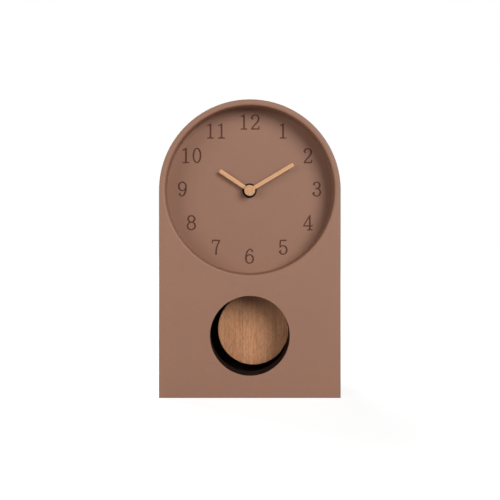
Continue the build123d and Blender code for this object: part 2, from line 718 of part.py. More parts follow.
# Battery contacts: bowed strips between the bay's end walls and the cell
contact_wall = HOUSING_HALF_WIDTH - HOUSING_WALL - CONTACT_CLEARANCE
contact_bow = contact_wall - CELL_LENGTH / 2 - CONTACT_CLEARANCE - CONTACT
for contact_name, side in (("contact_negative", -1), ("contact_positive", 1)):
    with BuildPart() as contact:
        with BuildSketch(front_plane(cell_depth + CONTACT_WIDTH / 2, (side * contact_wall, cell_height))):
            with BuildLine() as bow:
                ThreePointArc(
                    (-side * CONTACT, -CONTACT_HEIGHT / 2),
                    (-side * (CONTACT + contact_bow), 0),
                    (-side * CONTACT, CONTACT_HEIGHT / 2),
                )
                ThreePointArc((0, -CONTACT_HEIGHT / 2), (-side * contact_bow, 0), (0, CONTACT_HEIGHT / 2))
                Line((-side * CONTACT, -CONTACT_HEIGHT / 2), (0, -CONTACT_HEIGHT / 2))
                Line((-side * CONTACT, CONTACT_HEIGHT / 2), (0, CONTACT_HEIGHT / 2))
            make_face()
        extrude(amount=CONTACT_WIDTH)
    finish(contact, contact_name)

# Pendulum drive: a coil on the housing, and a magnet set in the hanger that swings past it
with BuildPart() as drive_coil:
    with BuildSketch(front_plane(drive_coil_back, (0, pivot[1] - DRIVE_MAGNET_DROP))):
        Circle(DRIVE_COIL_RADIUS)
        Circle(DRIVE_COIL_BORE, mode=Mode.SUBTRACT)
    extrude(amount=drive_coil_back - front_inside)
finish(drive_coil, "drive_coil")

with BuildPart() as pendulum_pivot:
    with BuildSketch(front_plane(pivot_boss_front, pivot)):
        Circle(PIVOT_RADIUS)
    extrude(amount=pivot_boss_front - pivot_boss_back + PIVOT_SOCKET)
finish(pendulum_pivot, "pendulum_pivot")

magnet_pocket = DRIVE_MAGNET_WIDTH + 2 * SEAT_CLEARANCE
peg_back = PENDULUM_DEPTH + ROD / 2 + PEG_PROUD
with BuildPart() as pendulum_hanger:
    with BuildSketch(swing_plane(hanger_back)):
        Circle(HANGER_HUB_RADIUS)
        with Locations((0, -DRIVE_MAGNET_DROP)):
            Rectangle(DRIVE_MAGNET_WIDTH + 2 * DRIVE_MAGNET_RIM, DRIVE_MAGNET_WIDTH + 2 * DRIVE_MAGNET_RIM)
        with Locations((0, -PEG_DROP)):
            Rectangle(ROD_WIDTH, 2 * ROD_END)
        make_hull()
        Circle(PIVOT_RADIUS + RUNNING_CLEARANCE, mode=Mode.SUBTRACT)
        with Locations((0, -DRIVE_MAGNET_DROP)):
            Rectangle(magnet_pocket, magnet_pocket, mode=Mode.SUBTRACT)
    extrude(amount=HANGER)
    with BuildSketch(swing_plane(peg_back)):
        with Locations((0, -PEG_DROP)):
            Circle(PEG_RADIUS)
    extrude(amount=peg_back - hanger_back)
finish(pendulum_hanger, "pendulum_hanger")

with BuildPart() as drive_magnet:
    with BuildSketch(swing_plane(hanger_back)):
        with Locations((0, -DRIVE_MAGNET_DROP)):
            Rectangle(DRIVE_MAGNET_WIDTH, DRIVE_MAGNET_WIDTH)
    extrude(amount=HANGER)
finish(drive_magnet, "drive_magnet")

# Pendulum rod: a flat strip that hangs on the hanger's peg and is set in the rim of the bob
rod_top = PEG_DROP - ROD_END
rod_foot = bob_drop - BOB_RADIUS + ROD_GRIP
with BuildPart() as pendulum_rod:
    with BuildSketch(swing_plane(PENDULUM_DEPTH + ROD / 2)) as strip:
        with Locations((0, -rod_top)):
            Rectangle(ROD_WIDTH, rod_foot - rod_top, align=(Align.CENTER, Align.MAX))
        chamfer(strip.vertices().group_by(Axis.Y)[-1], ROD_CORNER)
        with Locations((0, -PEG_DROP)):
            Circle(PEG_RADIUS + PEG_CLEARANCE, mode=Mode.SUBTRACT)
    extrude(amount=ROD)
finish(pendulum_rod, "pendulum_rod")

rod_slot = ROD + 2 * SEAT_CLEARANCE
with BuildPart() as bob:
    with BuildSketch(swing_plane(PENDULUM_DEPTH + BOB / 2)):
        with Locations((0, -bob_drop)):
            Circle(BOB_RADIUS)
    extrude(amount=BOB)
    chamfer(bob.faces().sort_by(Axis.Y)[0].edges(), BOB_EDGE_CHAMFER)
    with BuildSketch(swing_plane(PENDULUM_DEPTH + rod_slot / 2)):
        with Locations((0, -rod_foot)):
            Rectangle(ROD_WIDTH + 2 * SEAT_CLEARANCE, 2 * ROD_GRIP, align=(Align.CENTER, Align.MIN))
    extrude(amount=rod_slot, mode=Mode.SUBTRACT)
finish(bob, "bob")

# Hands: flat bars on round hubs, pressed on the hour pipe and the minute arbor
for hand_name, hand_back, hand_angle, hand_length, hub_radius, seat_radius in (
    ("hour_hand", hour_hand_back, HOUR_HAND_ANGLE, HOUR_HAND_LENGTH, HOUR_HAND_HUB, HOUR_PIPE_RADIUS),
    (
        "minute_hand", minute_hand_back, MINUTE_HAND_ANGLE, MINUTE_HAND_LENGTH, MINUTE_HAND_HUB,
        MINUTE_ARBOR_RADIUS,
    ),
):
    with BuildPart() as hand:
        with BuildSketch(hand_plane(hand_back, hand_angle)) as hand_outline:
            Rectangle(HAND_WIDTH, hand_length, align=(Align.CENTER, Align.MIN))
            fillet(hand_outline.vertices().group_by(Axis.Y)[-1], HAND_TIP_ROUND)
            Circle(hub_radius)
            Circle(seat_radius + SEAT_CLEARANCE, mode=Mode.SUBTRACT)
        extrude(amount=HAND)
    finish(hand, hand_name)

# Hand cap: the button over the end of the minute arbor
with BuildPart() as hand_cap:
    with BuildSketch(front_plane(minute_hand_front, dial_centre)):
        Circle(CAP_RADIUS)
    extrude(amount=CAP)
    chamfer(hand_cap.faces().sort_by(Axis.Y)[0].edges(), CAP_EDGE_CHAMFER)
    with BuildSketch(front_plane(minute_hand_front, dial_centre)):
        Circle(MINUTE_ARBOR_RADIUS + SEAT_CLEARANCE)
    extrude(amount=CAP_GRIP + SEAT_CLEARANCE, mode=Mode.SUBTRACT)
finish(hand_cap, "hand_cap")
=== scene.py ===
"""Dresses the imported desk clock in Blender.

The clock gets a painted case, an engraved dial, wooden hands, a wooden bob and finished works behind.
Lengths are in metres in the part's own frame: +Z is up, the dial faces -Y and the origin is under the
middle.
"""

from math import asin, cos, hypot, pi, radians, sin

import bmesh
import bpy
from mathutils import Matrix, Vector


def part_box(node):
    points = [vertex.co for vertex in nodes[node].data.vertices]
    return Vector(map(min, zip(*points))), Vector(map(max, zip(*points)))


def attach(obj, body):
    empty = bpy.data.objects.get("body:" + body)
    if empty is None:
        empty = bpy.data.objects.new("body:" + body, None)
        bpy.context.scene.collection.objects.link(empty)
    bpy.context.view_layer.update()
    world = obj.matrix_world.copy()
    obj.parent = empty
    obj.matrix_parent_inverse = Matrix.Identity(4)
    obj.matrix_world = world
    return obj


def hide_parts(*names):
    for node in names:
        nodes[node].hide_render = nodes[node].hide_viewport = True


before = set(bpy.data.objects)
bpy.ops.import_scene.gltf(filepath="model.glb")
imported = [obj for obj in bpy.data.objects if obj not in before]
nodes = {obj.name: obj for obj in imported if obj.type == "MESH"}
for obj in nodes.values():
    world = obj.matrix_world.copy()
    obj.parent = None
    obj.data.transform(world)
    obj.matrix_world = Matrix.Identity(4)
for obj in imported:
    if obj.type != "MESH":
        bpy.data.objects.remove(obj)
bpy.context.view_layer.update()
scene = bpy.context.scene

MM = 0.001
WHITE = (1, 1, 1)
SQUARE = [(-1, -1), (1, -1), (1, 1), (-1, 1)]

# Case
front_low, front_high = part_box("front_board")
dial_low, dial_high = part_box("dial_board")
frame_low, frame_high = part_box("case_frame")
ARCH_SPRING = 167 * MM
ARCH_HALF = front_high.z - ARCH_SPRING
ARCH_STEPS = 90
ROUND_STEPS = 4
CASE_ROUND = 1.0 * MM
DIAL_RADIUS = 68 * MM
DIAL_ROUND = 1.7 * MM
DIAL_STEPS = 144
WINDOW_Z = 50 * MM
WINDOW_RADIUS = 32 * MM
WINDOW_ROUND = 0.35 * MM
WINDOW_STEPS = 112
BACK_WINDOW_RADIUS = 33 * MM
BUSH_HOLE_RADIUS = 4.1 * MM
BORE_STEPS = 32
CASE_WALL = 9 * MM
REBATE_WALL = 3 * MM
REBATE_DEPTH = 6 * MM
REBATE_FOOT = 3 * MM
BACK_ROUND = 0.8 * MM
BLACK_LAP = 0.05 * MM
CUT_LAP = 0.01 * MM
WELD_REACH = 0.003 * MM
SMOOTH_ANGLE = radians(38)

# Places of the finishes in the lists of the case's pieces
PAINTED, BLACK, GROOVE_SHADED, DIAL_RECESS_SHADED = range(4)

# Numerals: drawn on a grid 15 units high, y up from the foot
NUMERAL_UNIT = 0.832 * MM
NUMERAL_UNIT_UP = 0.85 * MM
NUMERAL_CIRCLE = 55.5 * MM
NUMERAL_RAISE = 1.3 * MM
NUMERAL_HEIGHT = 15.0
NUMERAL_DEPTH = 0.55 * MM
NUMERAL_PROUD = 0.3 * MM
NUMERAL_DRAFT = 0.22
STEM = 0.92
HAIR = 0.64
CURVE_STEPS = 22
LOOP_STEPS = 44
BALL_STEPS = 18
PATH_STEPS = 7
FIRST_DIGIT_SHIFT = -5.45
SECOND_DIGIT_SHIFT = 5.55
HOURS = 12

# Hands
HOUR_ANGLE = radians(303.6)
MINUTE_ANGLE = radians(59.2)
HAND_HALF = 1.6 * MM
HAND_ROUND = 0.28 * MM
HAND_ROUND_STEPS = 3
HAND_TIP_ROUND = 1.35 * MM
HAND_TIP_STEPS = 6
HUB_STEPS = 40
HOUR_LENGTH = 29.5 * MM
HOUR_HUB_RADIUS = 4.2 * MM
HOUR_BORE_RADIUS = 2.5 * MM
MINUTE_LENGTH = 41.8 * MM
MINUTE_HUB_RADIUS = 3.4 * MM
MINUTE_BORE_RADIUS = 1.6 * MM

# Button over the hands, and bob
DISC_ROUND_STEPS = 5
CAP_ROUND = 0.5 * MM
CAP_BACK_ROUND = 0.2 * MM
CAP_STEPS = 56
BOB_ROUND = 0.9 * MM
BOB_STEPS = 128

# Battery cell: its ends are pairs, in millimetres, of a radius and the distance from the end
CELL_FOOT = [(0, 0.25), (4.6, 0.25), (4.9, 0), (5.8, 0), (6.1, 0.45), (6.3, 0.3)]
CELL_TIP = [(6.0, 1.95), (5.8, 2.2), (4.0, 2.2), (3.7, 1.7), (2.9, 1.6), (2.7, 0.3), (2.4, 0), (0, 0)]
CELL_CRIMP = 0.35 * MM
CELL_FOOT_CRIMP = (0.3 * MM, 0.7 * MM)
CELL_TIP_CRIMP = (2.6 * MM, 2.05 * MM)
CELL_BAND_START = 34 * MM
CELL_STEPS = 64
SLEEVE, BAND, STEEL = range(3)
CELL_FINISHES = [STEEL] * 4 + [SLEEVE] * 4 + [BAND] * 3 + [SLEEVE] * 2 + [STEEL] * 5

# Back screws: (x, z) of each head on the panel in millimetres; shares are of the radius and the rise
SCREW_PLACES = [(-67, 30), (67, 30), (-67, 110), (67, 110), (-47.4, 214.4), (47.4, 214.4)]
SCREW_RADIUS = 2.55 * MM
SCREW_RISE = 1.45 * MM
SCREW_FLAT_SHARE = 0.35
SCREW_SIDE_SHARE = 0.3
SCREW_DOME_STEPS = 6
SCREW_STEPS = 32
SCREW_FIRST_TURN = 0.5
SCREW_NEXT_TURN = 0.9
SCREW_CROSS_HALF = 0.34 * MM
SCREW_CROSS_REACH = 1.6 * MM
SCREW_CROSS_PROUD = 0.2 * MM
SCREW_CROSS_DEPTH = 0.8 * MM
SCREW_CROSS_HALF_SHARE = 0.7
SCREW_CROSS_REACH_SHARE = 0.5

# Mouldings on the movement, in millimetres: places and levels are (x, z) and z on its back
MOULD_SINK = -0.2
MOULD_EDGE = 0.12
RIM_HALF = 25.8
RIM_LOW = 140.9
RIM_HIGH = 192.6
RIM_CORNER = 2.2
RIM_CORNER_LOSS = 0.4
RIM_THICK = 0.9
RIM_RISE = 0.55
BEARING_PLACES = [(0, 167), (6, 177.4), (4.8, 158.7), (14, 155.3), (-10, 167), (0, 116.5)]
BEARING_RADIUS = 2.1
BEARING_RISE = 0.6
BEARING_EDGE = 0.15
BEARING_CUP_MOUTH = 0.75
BEARING_CUP_FLOOR = 0.55
BEARING_CUP_DEPTH = 0.35
BEARING_STEPS = 36
KNOB_PLACE = (-16.02, 159.01)
ARROW_RADIUS = 8.2
ARROW_HALF = 0.35
ARROW_FIRST = 86
ARROW_LAST = 166
ARROW_HEAD = 1.1
MARK_RISE = 0.45
SIGN_PLACE = (20.5, 145.2)
SIGN_REACH = 2.2
SIGN_HALF = 0.5
GRIP_LEVELS = [183.2, 185.6, 188.0]
GRIP_HALF = (11.0, 0.45)
DRIVE_RIBS = [-11.5, -7.5, 7.5, 11.5]
DRIVE_RIB_SPAN = (104.0, 117.5)
DRIVE_RIB_HALF = 0.45

# Clips on the movement's sides, in millimetres: each part has its first y, its last y and its rise
CLIP_LEVELS = [150.0, 178.0]
CLIP_HALF = 3.2
CLIP_PARTS = [(-4.6, 0.6, 0.9), (-8.6, -5.0, 1.3)]

# Span that most of a noise lies in, and a narrower one that gives more contrast
NOISE_SPAN = (0.3, 0.7)
NARROW_SPAN = (0.36, 0.64)

# Wood: where its dark, middle and light colours stand, and how soon a pore gets to its full depth
GRAIN_STOPS = (0.385, 0.5, 0.615)
PORE_FADE = 0.12

# Waves in a metre of a wave texture at scale 1, and the sockets of a Mix node that hold colours
WAVES_AT_ONE = 3.2
MIX_FIRST, MIX_SECOND, MIX_RESULT = 6, 7, 2


def tint(colour, factor):
    """A colour made lighter or darker by a factor."""
    return tuple(part * factor for part in colour)


class Shader:
    """A material with short ways to add nodes and join them."""

    def __init__(self, name, **sockets):
        self.material = bpy.data.materials.new(name)
        self.material.use_nodes = True
        self.tree = self.material.node_tree
        self.surface = self.tree.nodes["Principled BSDF"]
        self.place = self.add("ShaderNodeTexCoord").outputs["Object"]
        for socket, value in sockets.items():
            self.put(socket.replace("_", " "), value)

    def add(self, kind, inputs=None, **settings):
        """A new node with its settings and its inputs, each a value or another node's output."""
        node = self.tree.nodes.new(kind)
        for name, value in settings.items():
            setattr(node, name, value)
        for name, value in (inputs or {}).items():
            self.feed(node.inputs[name], value)
        return node

    def feed(self, socket, value):
        """Sets a socket, or joins another node's output to it."""
        if isinstance(value, bpy.types.NodeSocket):
            self.tree.links.new(value, socket)
        else:
            socket.default_value = value

    def put(self, socket, value):
        """Sets or joins one of the surface's own sockets."""
        self.feed(self.surface.inputs[socket], value)

    def noise(self, scale, stretch=(1, 1, 1), detail=4.0, roughness=0.55, distortion=0.0):
        """A noise value in the object's own space, its coordinates stretched first."""
        mapped = self.add("ShaderNodeMapping", {"Vector": self.place, "Scale": stretch})
        made = self.add("ShaderNodeTexNoise", {
            "Vector": mapped.outputs[0], "Scale": scale, "Detail": detail,
            "Roughness": roughness, "Distortion": distortion})
        return made.outputs["Fac"]

    def math(self, operation, first, second):
        """The result of an operation on two values."""
        node = self.add("ShaderNodeMath", operation=operation)
        self.feed(node.inputs[0], first)
        self.feed(node.inputs[1], second)
        return node.outputs[0]

    def mixed(self, first, second, share):
        """A share of the first value with the rest from the second."""
        rest = self.math("MULTIPLY", second, 1 - share)
        return self.math("ADD", self.math("MULTIPLY", first, share), rest)

    def span(self, value, low, high, new_low, new_high):
        """Carries a value from one span to another, held at the ends."""
        node = self.add("ShaderNodeMapRange", {
            "Value": value, "From Min": low, "From Max": high, "To Min": new_low, "To Max": new_high})
        return node.outputs[0]

    def ramp(self, value, *stops):
        """A colour from a value: each stop is a place and a linear colour."""
        node = self.add("ShaderNodeValToRGB", {"Fac": value})
        elements = node.color_ramp.elements
        while len(elements) < len(stops):
            elements.new(0.5)
        for element, (place, colour) in zip(elements, stops):
            element.position = place
            element.color = (*colour, 1)
        return node.outputs["Color"]

    def darken(self, colour, value, shade):
        """The colour, multiplied by a shade where the value is one."""
        node = self.add("ShaderNodeMix", data_type="RGBA", blend_type="MULTIPLY")
        self.feed(node.inputs["Factor"], value)
        self.feed(node.inputs[MIX_FIRST], colour)
        self.feed(node.inputs[MIX_SECOND], (*shade, 1))
        return node.outputs[MIX_RESULT]

    def shaded(self, pattern, colour, darker, lighter, span=NOISE_SPAN):
        """Lets the base colour follow a pattern between two factors of a colour."""
        dark, light = tint(colour, darker), tint(colour, lighter)
        self.put("Base Color", self.ramp(pattern, (span[0], dark), (span[1], light)))

    def roughened(self, pattern, first, last):
        """Lets the roughness follow a pattern from one value to another."""
        self.put("Roughness", self.span(pattern, *NOISE_SPAN, first, last))

    def bump(self, height, distance, under=None):
        """Raises the surface by a height map, over another one if there is one."""
        node = self.add("ShaderNodeBump", {"Height": height, "Distance": distance})
        if under is not None:
            self.feed(node.inputs["Normal"], under)
        self.put("Normal", node.outputs["Normal"])
        return node.outputs["Normal"]


def painted(name, colour, rough, contrast, gloss=0.36):
    """Matt paint over board: a faint cloudiness, a fine mottle and a slight orange peel."""
    shader = Shader(name, Specular_IOR_Level=gloss)
    cloud = shader.noise(scale=22, detail=3)
    mottle = shader.noise(scale=620, detail=5, roughness=0.65)
    mixed = shader.mixed(cloud, mottle, share=0.4)
    shader.shaded(mixed, colour, darker=1 - contrast, lighter=1 + contrast, span=NARROW_SPAN)
    shader.roughened(mottle, first=rough - 0.05, last=rough + 0.05)
    peel = shader.bump(shader.noise(scale=950, detail=2), distance=0.022 * MM)
    shader.bump(shader.noise(scale=3600, detail=2), distance=0.006 * MM, under=peel)
    return shader.material


def wooden(name, light, dark, pore, along, ring_scale, pore_start):
    """Bare oiled wood: bands across the grain, long fine lines, short flecks, and dark pores along it.

    along is the axis that the grain follows; with none, it is end grain."""
    shader = Shader(name, Specular_IOR_Level=0.3)

    def drawn_out(share):
        """Scale of a pattern that is drawn out along the grain."""
        return [share if axis == along else 1 for axis in "XYZ"]

    bands = shader.noise(ring_scale, drawn_out(share=0.03), detail=3, roughness=0.5, distortion=0.7)
    lines = shader.noise(scale=1300, stretch=drawn_out(share=0.01), detail=3, roughness=0.75)
    flecks = shader.noise(scale=1500, stretch=drawn_out(share=0.23), detail=3, roughness=0.75)
    streaks = shader.mixed(lines, flecks, share=0.48)
    shade = shader.mixed(bands, streaks, share=0.15)
    middle = tuple((a + b) / 2 for a, b in zip(light, dark))
    colour = shader.ramp(shade, *zip(GRAIN_STOPS, (dark, middle, light)))
    pores = shader.noise(scale=1700, stretch=drawn_out(share=0.08), detail=3, roughness=0.6)
    pits = shader.span(pores, pore_start, pore_start + PORE_FADE, new_low=0, new_high=1)
    shader.put("Base Color", shader.darken(colour, pits, pore))
    shader.roughened(streaks, first=0.58, last=0.44)
    fibres = shader.bump(streaks, distance=0.03 * MM)
    lowered = shader.math("SUBTRACT", 1.0, pits)
    shader.bump(lowered, distance=0.05 * MM, under=fibres)
    return shader.material


def fibre_board(name, colour, rough):
    """Black-stained hardboard: short matted fibres, a shade lighter where they lie on top."""
    shader = Shader(name, Specular_IOR_Level=0.3)
    mat = shader.noise(scale=420, stretch=(1, 1, 0.35), detail=6, roughness=0.75, distortion=1.6)
    cloud = shader.noise(scale=35, detail=3)
    mixed = shader.mixed(mat, cloud, share=0.75)
    shader.shaded(mixed, colour, darker=0.62, lighter=1.5, span=NARROW_SPAN)
    shader.roughened(mat, first=rough - 0.08, last=rough + 0.08)
    shader.bump(mat, distance=0.05 * MM)
    return shader.material


def moulded(name, colour, rough, grain=2400, relief=0.012):
    """Moulded plastic or rubber with a fine texture from the tool, its relief in millimetres."""
    shader = Shader(name)
    texture = shader.noise(grain, detail=3, roughness=0.6)
    flow = shader.noise(scale=60, stretch=(1, 1, 0.4), detail=3)
    shader.shaded(flow, colour, darker=0.86, lighter=1.14)
    shader.roughened(texture, first=rough - 0.07, last=rough + 0.07)
    shader.bump(texture, distance=relief * MM)
    return shader.material


def metal(name, colour, rough, brush=(1, 1, 1)):
    """Metal with fine rolling or turning marks, a little uneven in tone."""
    shader = Shader(name, Metallic=1.0)
    marks = shader.noise(scale=1400, stretch=brush, detail=4, roughness=0.7)
    cloud = shader.noise(scale=160, detail=3)
    shader.shaded(cloud, colour, darker=0.85, lighter=1.08)
    shader.roughened(marks, first=rough - 0.08, last=rough + 0.1)
    shader.bump(marks, distance=0.004 * MM)
    return shader.material


def wound(name, colour, pitch, direction):
    """Enamelled wire wound in close turns, with the odd turn out of line."""
    shader = Shader(name, Metallic=0.85)
    turns = shader.add("ShaderNodeTexWave", {
        "Vector": shader.place, "Scale": 1 / (WAVES_AT_ONE * pitch), "Distortion": 0.6, "Detail": 1.0},
        bands_direction=direction).outputs["Fac"]
    # The wire is darker between the turns: painted shade in the creases between wires, over the bumped
    # turns
    shader.shaded(turns, colour, darker=0.35, lighter=1, span=(0.0, 0.7))
    shader.roughened(shader.noise(scale=900), first=0.26, last=0.42)
    shader.bump(turns, distance=0.05 * MM)
    return shader.material


def printed_board(name, colour):
    """Green circuit board: tracks a shade lighter under the mask."""
    shader = Shader(name, Roughness=0.35)
    tracks = shader.add("ShaderNodeTexBrick", {
        "Vector": shader.place, "Color1": (*tint(colour, 1.8), 1), "Color2": (*tint(colour, 1.4), 1),
        "Mortar": (*colour, 1), "Scale": 260, "Mortar Size": 0.07})
    shader.put("Base Color", tracks.outputs["Color"])
    shader.bump(tracks.outputs["Fac"], distance=0.02 * MM)
    return shader.material


CASE_COLOUR = (0.334, 0.172, 0.113)
# The dial floor is painted a shade darker than the rest of the case: painted shade of its recess
DIAL_RECESS_SHADE = 0.945
paint = painted("case_paint", CASE_COLOUR, rough=0.5, contrast=0.035)
dial_recess_shade_paint = painted("dial_recess_shade_paint", tint(CASE_COLOUR, DIAL_RECESS_SHADE), rough=0.5, contrast=0.035)
# The cut hours are painted dark brown: painted shade in their grooves
groove_shade_paint = painted("groove_painted_shade", (0.115, 0.038, 0.020), rough=0.62, contrast=0.12)
inner_black = painted("inner_black", (0.028, 0.0135, 0.0098), rough=0.9, contrast=0.3, gloss=0.05)
board_black = fibre_board("board_black", (0.030, 0.0275, 0.0255), rough=0.6)
hand_wood = wooden("hand_wood", light=(0.80, 0.465, 0.245), dark=(0.59, 0.31, 0.15),
                   pore=(0.76, 0.64, 0.55), along="Z", ring_scale=240, pore_start=0.62)
cap_wood = wooden("cap_wood", light=(0.84, 0.48, 0.255), dark=(0.42, 0.215, 0.10),
                  pore=(0.6, 0.48, 0.4), along="", ring_scale=300, pore_start=0.58)
bob_wood = wooden("bob_wood", light=(0.788, 0.383, 0.195), dark=(0.432, 0.198, 0.098),
                  pore=(0.79, 0.70, 0.65), along="Z", ring_scale=190, pore_start=0.56)
housing_black = moulded("housing_plastic", (0.036, 0.036, 0.039), rough=0.4)
knob_black = moulded("knob_plastic", (0.052, 0.052, 0.056), rough=0.3, grain=1500, relief=0.006)
gear_white = moulded("gear_plastic", (0.74, 0.71, 0.64), rough=0.34, grain=1800, relief=0.004)
rubber = moulded("rubber", (0.022, 0.022, 0.022), rough=0.8, grain=2000, relief=0.03)
black_metal = metal("black_metal", (0.035, 0.033, 0.031), rough=0.42)
steel = metal("steel", (0.50, 0.50, 0.51), rough=0.32, brush=(1, 1, 0.1))
brass = metal("brass", (0.66, 0.45, 0.17), rough=0.28, brush=(1, 0.1, 1))
core_steel = metal("core_steel", (0.47, 0.47, 0.47), rough=0.4, brush=(1, 0.1, 1))
crystal_can = metal("crystal_can", (0.62, 0.62, 0.61), rough=0.25, brush=(0.1, 1, 1))
magnet = metal("magnet", (0.10, 0.10, 0.105), rough=0.5)
motor_wire = wound("motor_wire", (0.62, 0.24, 0.09), pitch=0.35 * MM, direction="Z")
drive_wire = wound("drive_wire", (0.60, 0.22, 0.08), pitch=0.4 * MM, direction="Y")
circuit = printed_board("circuit", (0.018, 0.13, 0.048))
sleeve = moulded("cell_sleeve", (0.034, 0.036, 0.042), rough=0.3, grain=900, relief=0.004)
sleeve_band = moulded("cell_band", (0.42, 0.43, 0.45), rough=0.3, grain=900, relief=0.004)


def ring(bm, points):
    """New vertices at these points, in order."""
    return [bm.verts.new(point) for point in points]


def bridge(bm, first, second, closed=True, material=0):
    """Quads between two rows of as many vertices."""
    count = len(first)
    for i in range(count if closed else count - 1):
        j = (i + 1) % count
        bm.faces.new((first[i], first[j], second[j], second[i])).material_index = material


def bridge_all(bm, rings, material=0):
    """Quads along a row of closed rings."""
    for first, second in zip(rings, rings[1:]):
        bridge(bm, first, second, material=material)


def bridge_round(bm, rows, closed):
    """Quads between rows that go round a section, with a flat face at each end of open rows."""
    for first, second in zip(rows, rows[1:] + rows[:1]):
        bridge(bm, first, second, closed)
    if not closed:
        bm.faces.new([row[0] for row in rows])
        bm.faces.new([row[-1] for row in rows])


def close_form(bm, rings):
    """A closed form through a row of rings, with a flat face at each end."""
    bridge_all(bm, rings)
    bm.faces.new(rings[0])
    bm.faces.new(rings[-1])


def fill(bm, rings, material=0):
    """A flat face inside the first ring, with the other rings as holes in it."""
    edges = []
    for loop in rings:
        for i, vert in enumerate(loop):
            edge = bm.edges.get((loop[i - 1], vert))
            edges.append(edge or bm.edges.new((loop[i - 1], vert)))
    made = bmesh.ops.triangle_fill(bm, edges=edges, use_beauty=True, use_dissolve=False)
    for face in made["geom"]:
        if isinstance(face, bmesh.types.BMFace):
            face.material_index = material


def new_object(name, bm, materials):
    """An object of the bmesh's faces, turned outwards, with its materials."""
    bmesh.ops.recalc_face_normals(bm, faces=bm.faces)
    mesh = bpy.data.meshes.new(name)
    bm.to_mesh(mesh)
    bm.free()
    for material in materials:
        mesh.materials.append(material)
    made = bpy.data.objects.new(name, mesh)
    scene.collection.objects.link(made)
    return made


def weld(mesh):
    """Joins vertices that a cut left almost on each other, and drops what has no area."""
    bm = bmesh.new()
    bm.from_mesh(mesh)
    bmesh.ops.remove_doubles(bm, verts=bm.verts, dist=WELD_REACH)
    bmesh.ops.dissolve_degenerate(bm, edges=bm.edges, dist=WELD_REACH)
    bmesh.ops.triangulate(bm, faces=[face for face in bm.faces if len(face.verts) > 4])
    bmesh.ops.dissolve_degenerate(bm, edges=bm.edges, dist=WELD_REACH)
    bm.to_mesh(mesh)
    bm.free()


def carve(target, bm):
    """Cuts a bmesh's closed forms out of an object for good."""
    cutter = new_object("cutter", bm, [])
    cut = target.modifiers.new("carve", "BOOLEAN")
    cut.operation = "DIFFERENCE"
    cut.solver = "EXACT"
    cut.use_self = True
    cut.object = cutter
    bpy.context.view_layer.update()
    whole = target.data
    name = whole.name
    target.data = bpy.data.meshes.new_from_object(
        target.evaluated_get(bpy.context.evaluated_depsgraph_get()))
    target.modifiers.clear()
    block = cutter.data
    bpy.data.objects.remove(cutter)
    bpy.data.meshes.remove(block)
    bpy.data.meshes.remove(whole)
    target.data.name = name
    weld(target.data)


def dress(made, body, slot, *stands_for):
    """Smooths an object between its sharp edges and sets it on a body in place of some nodes."""
    made.data.shade_smooth()
    made.data.set_sharp_from_angle(angle=SMOOTH_ANGLE)
    made.modifiers.new("normals", "WEIGHTED_NORMAL").keep_sharp = True
    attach(made, body)
    if stands_for:
        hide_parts(*stands_for)
    return made


def full_turn(steps):
    """Angles at even steps once round."""
    return [2 * pi * i / steps for i in range(steps)]


def rounding(radius, steps=ROUND_STEPS):
    """(inset, depth) pairs over a quarter round, from a side onto the face in front of it."""
    turns = [pi / 2 * i / steps for i in range(steps + 1)]
    return [(radius * (1 - cos(turn)), radius * (1 - sin(turn))) for turn in turns]


def arch(half, foot):
    """(x, z) up the left side, over the top and down the right side of an arch."""
    turns = [pi - pi * i / ARCH_STEPS for i in range(ARCH_STEPS + 1)]
    over = [(half * cos(turn), ARCH_SPRING + half * sin(turn)) for turn in turns]
    return [(-half, foot), *over, (half, foot)]


def circle(radius, centre_z, steps):
    """(x, z) round a circle on the middle line."""
    return [(radius * cos(turn), centre_z + radius * sin(turn)) for turn in full_turn(steps)]


def at_depth(points, y):
    """Flat points, stood up in space at one depth."""
    return [Vector((x, y, z)) for x, z in points]


def hole_rings(bm, radius, centre_z, steps, front, back, edge=0.0):
    """Rings of a round hole from the back to its front edge, which is rounded if edge is given."""
    made = [ring(bm, at_depth(circle(radius, centre_z, steps), back))]
    for inset, depth in rounding(edge) if edge else [(0, 0)]:
        made.append(ring(bm, at_depth(circle(radius + inset, centre_z, steps), front + depth)))
    return made


def make_case_front():
    """The front board: rounded arch, open round the dial, with the bob's window under it."""
    bm = bmesh.new()
    front, back = front_low.y, front_high.y
    outer = [ring(bm, at_depth(arch(ARCH_HALF, front_low.z), back))]
    for inset, depth in rounding(CASE_ROUND):
        outer.append(ring(bm, at_depth(arch(ARCH_HALF - inset, front_low.z + inset), front + depth)))
    dial = hole_rings(bm, DIAL_RADIUS, ARCH_SPRING, DIAL_STEPS, front, back, DIAL_ROUND)
    window = hole_rings(bm, WINDOW_RADIUS, WINDOW_Z, WINDOW_STEPS, front, back, WINDOW_ROUND)
    bridge_all(bm, outer)
    bridge_all(bm, dial)
    bridge_all(bm, window[:2], BLACK)
    bridge_all(bm, window[1:])
    fill(bm, [outer[-1], dial[-1], window[-1]])
    fill(bm, [outer[0], dial[0], window[0]])
    made = new_object("case_front", bm, [paint, inner_black])
    return dress(made, "case", "case_paint", "front_board")


def ellipse(centre, radii, first, last, steps=CURVE_STEPS):
    """Points along an ellipse between two angles in degrees."""
    turns = [radians(first + (last - first) * i / steps) for i in range(steps + 1)]
    return [(centre[0] + radii[0] * cos(turn), centre[1] + radii[1] * sin(turn)) for turn in turns]


def smooth_path(points):
    """A smooth run through points, each stretch bent to its neighbours."""
    ends = [points[0], *points, points[-1]]
    made = []
    for before, start, end, after in zip(ends, ends[1:], ends[2:], ends[3:]):
        for i in range(PATH_STEPS):
            t = i / PATH_STEPS
            pair = []
            for a, b, c, d in zip(before, start, end, after):
                pair.append(0.5 * (2 * b + (c - a) * t + (2 * a - 5 * b + 4 * c - d) * t * t
                                   + (3 * b - a - 3 * c + d) * t ** 3))
            made.append(tuple(pair))
    return [*made, points[-1]]


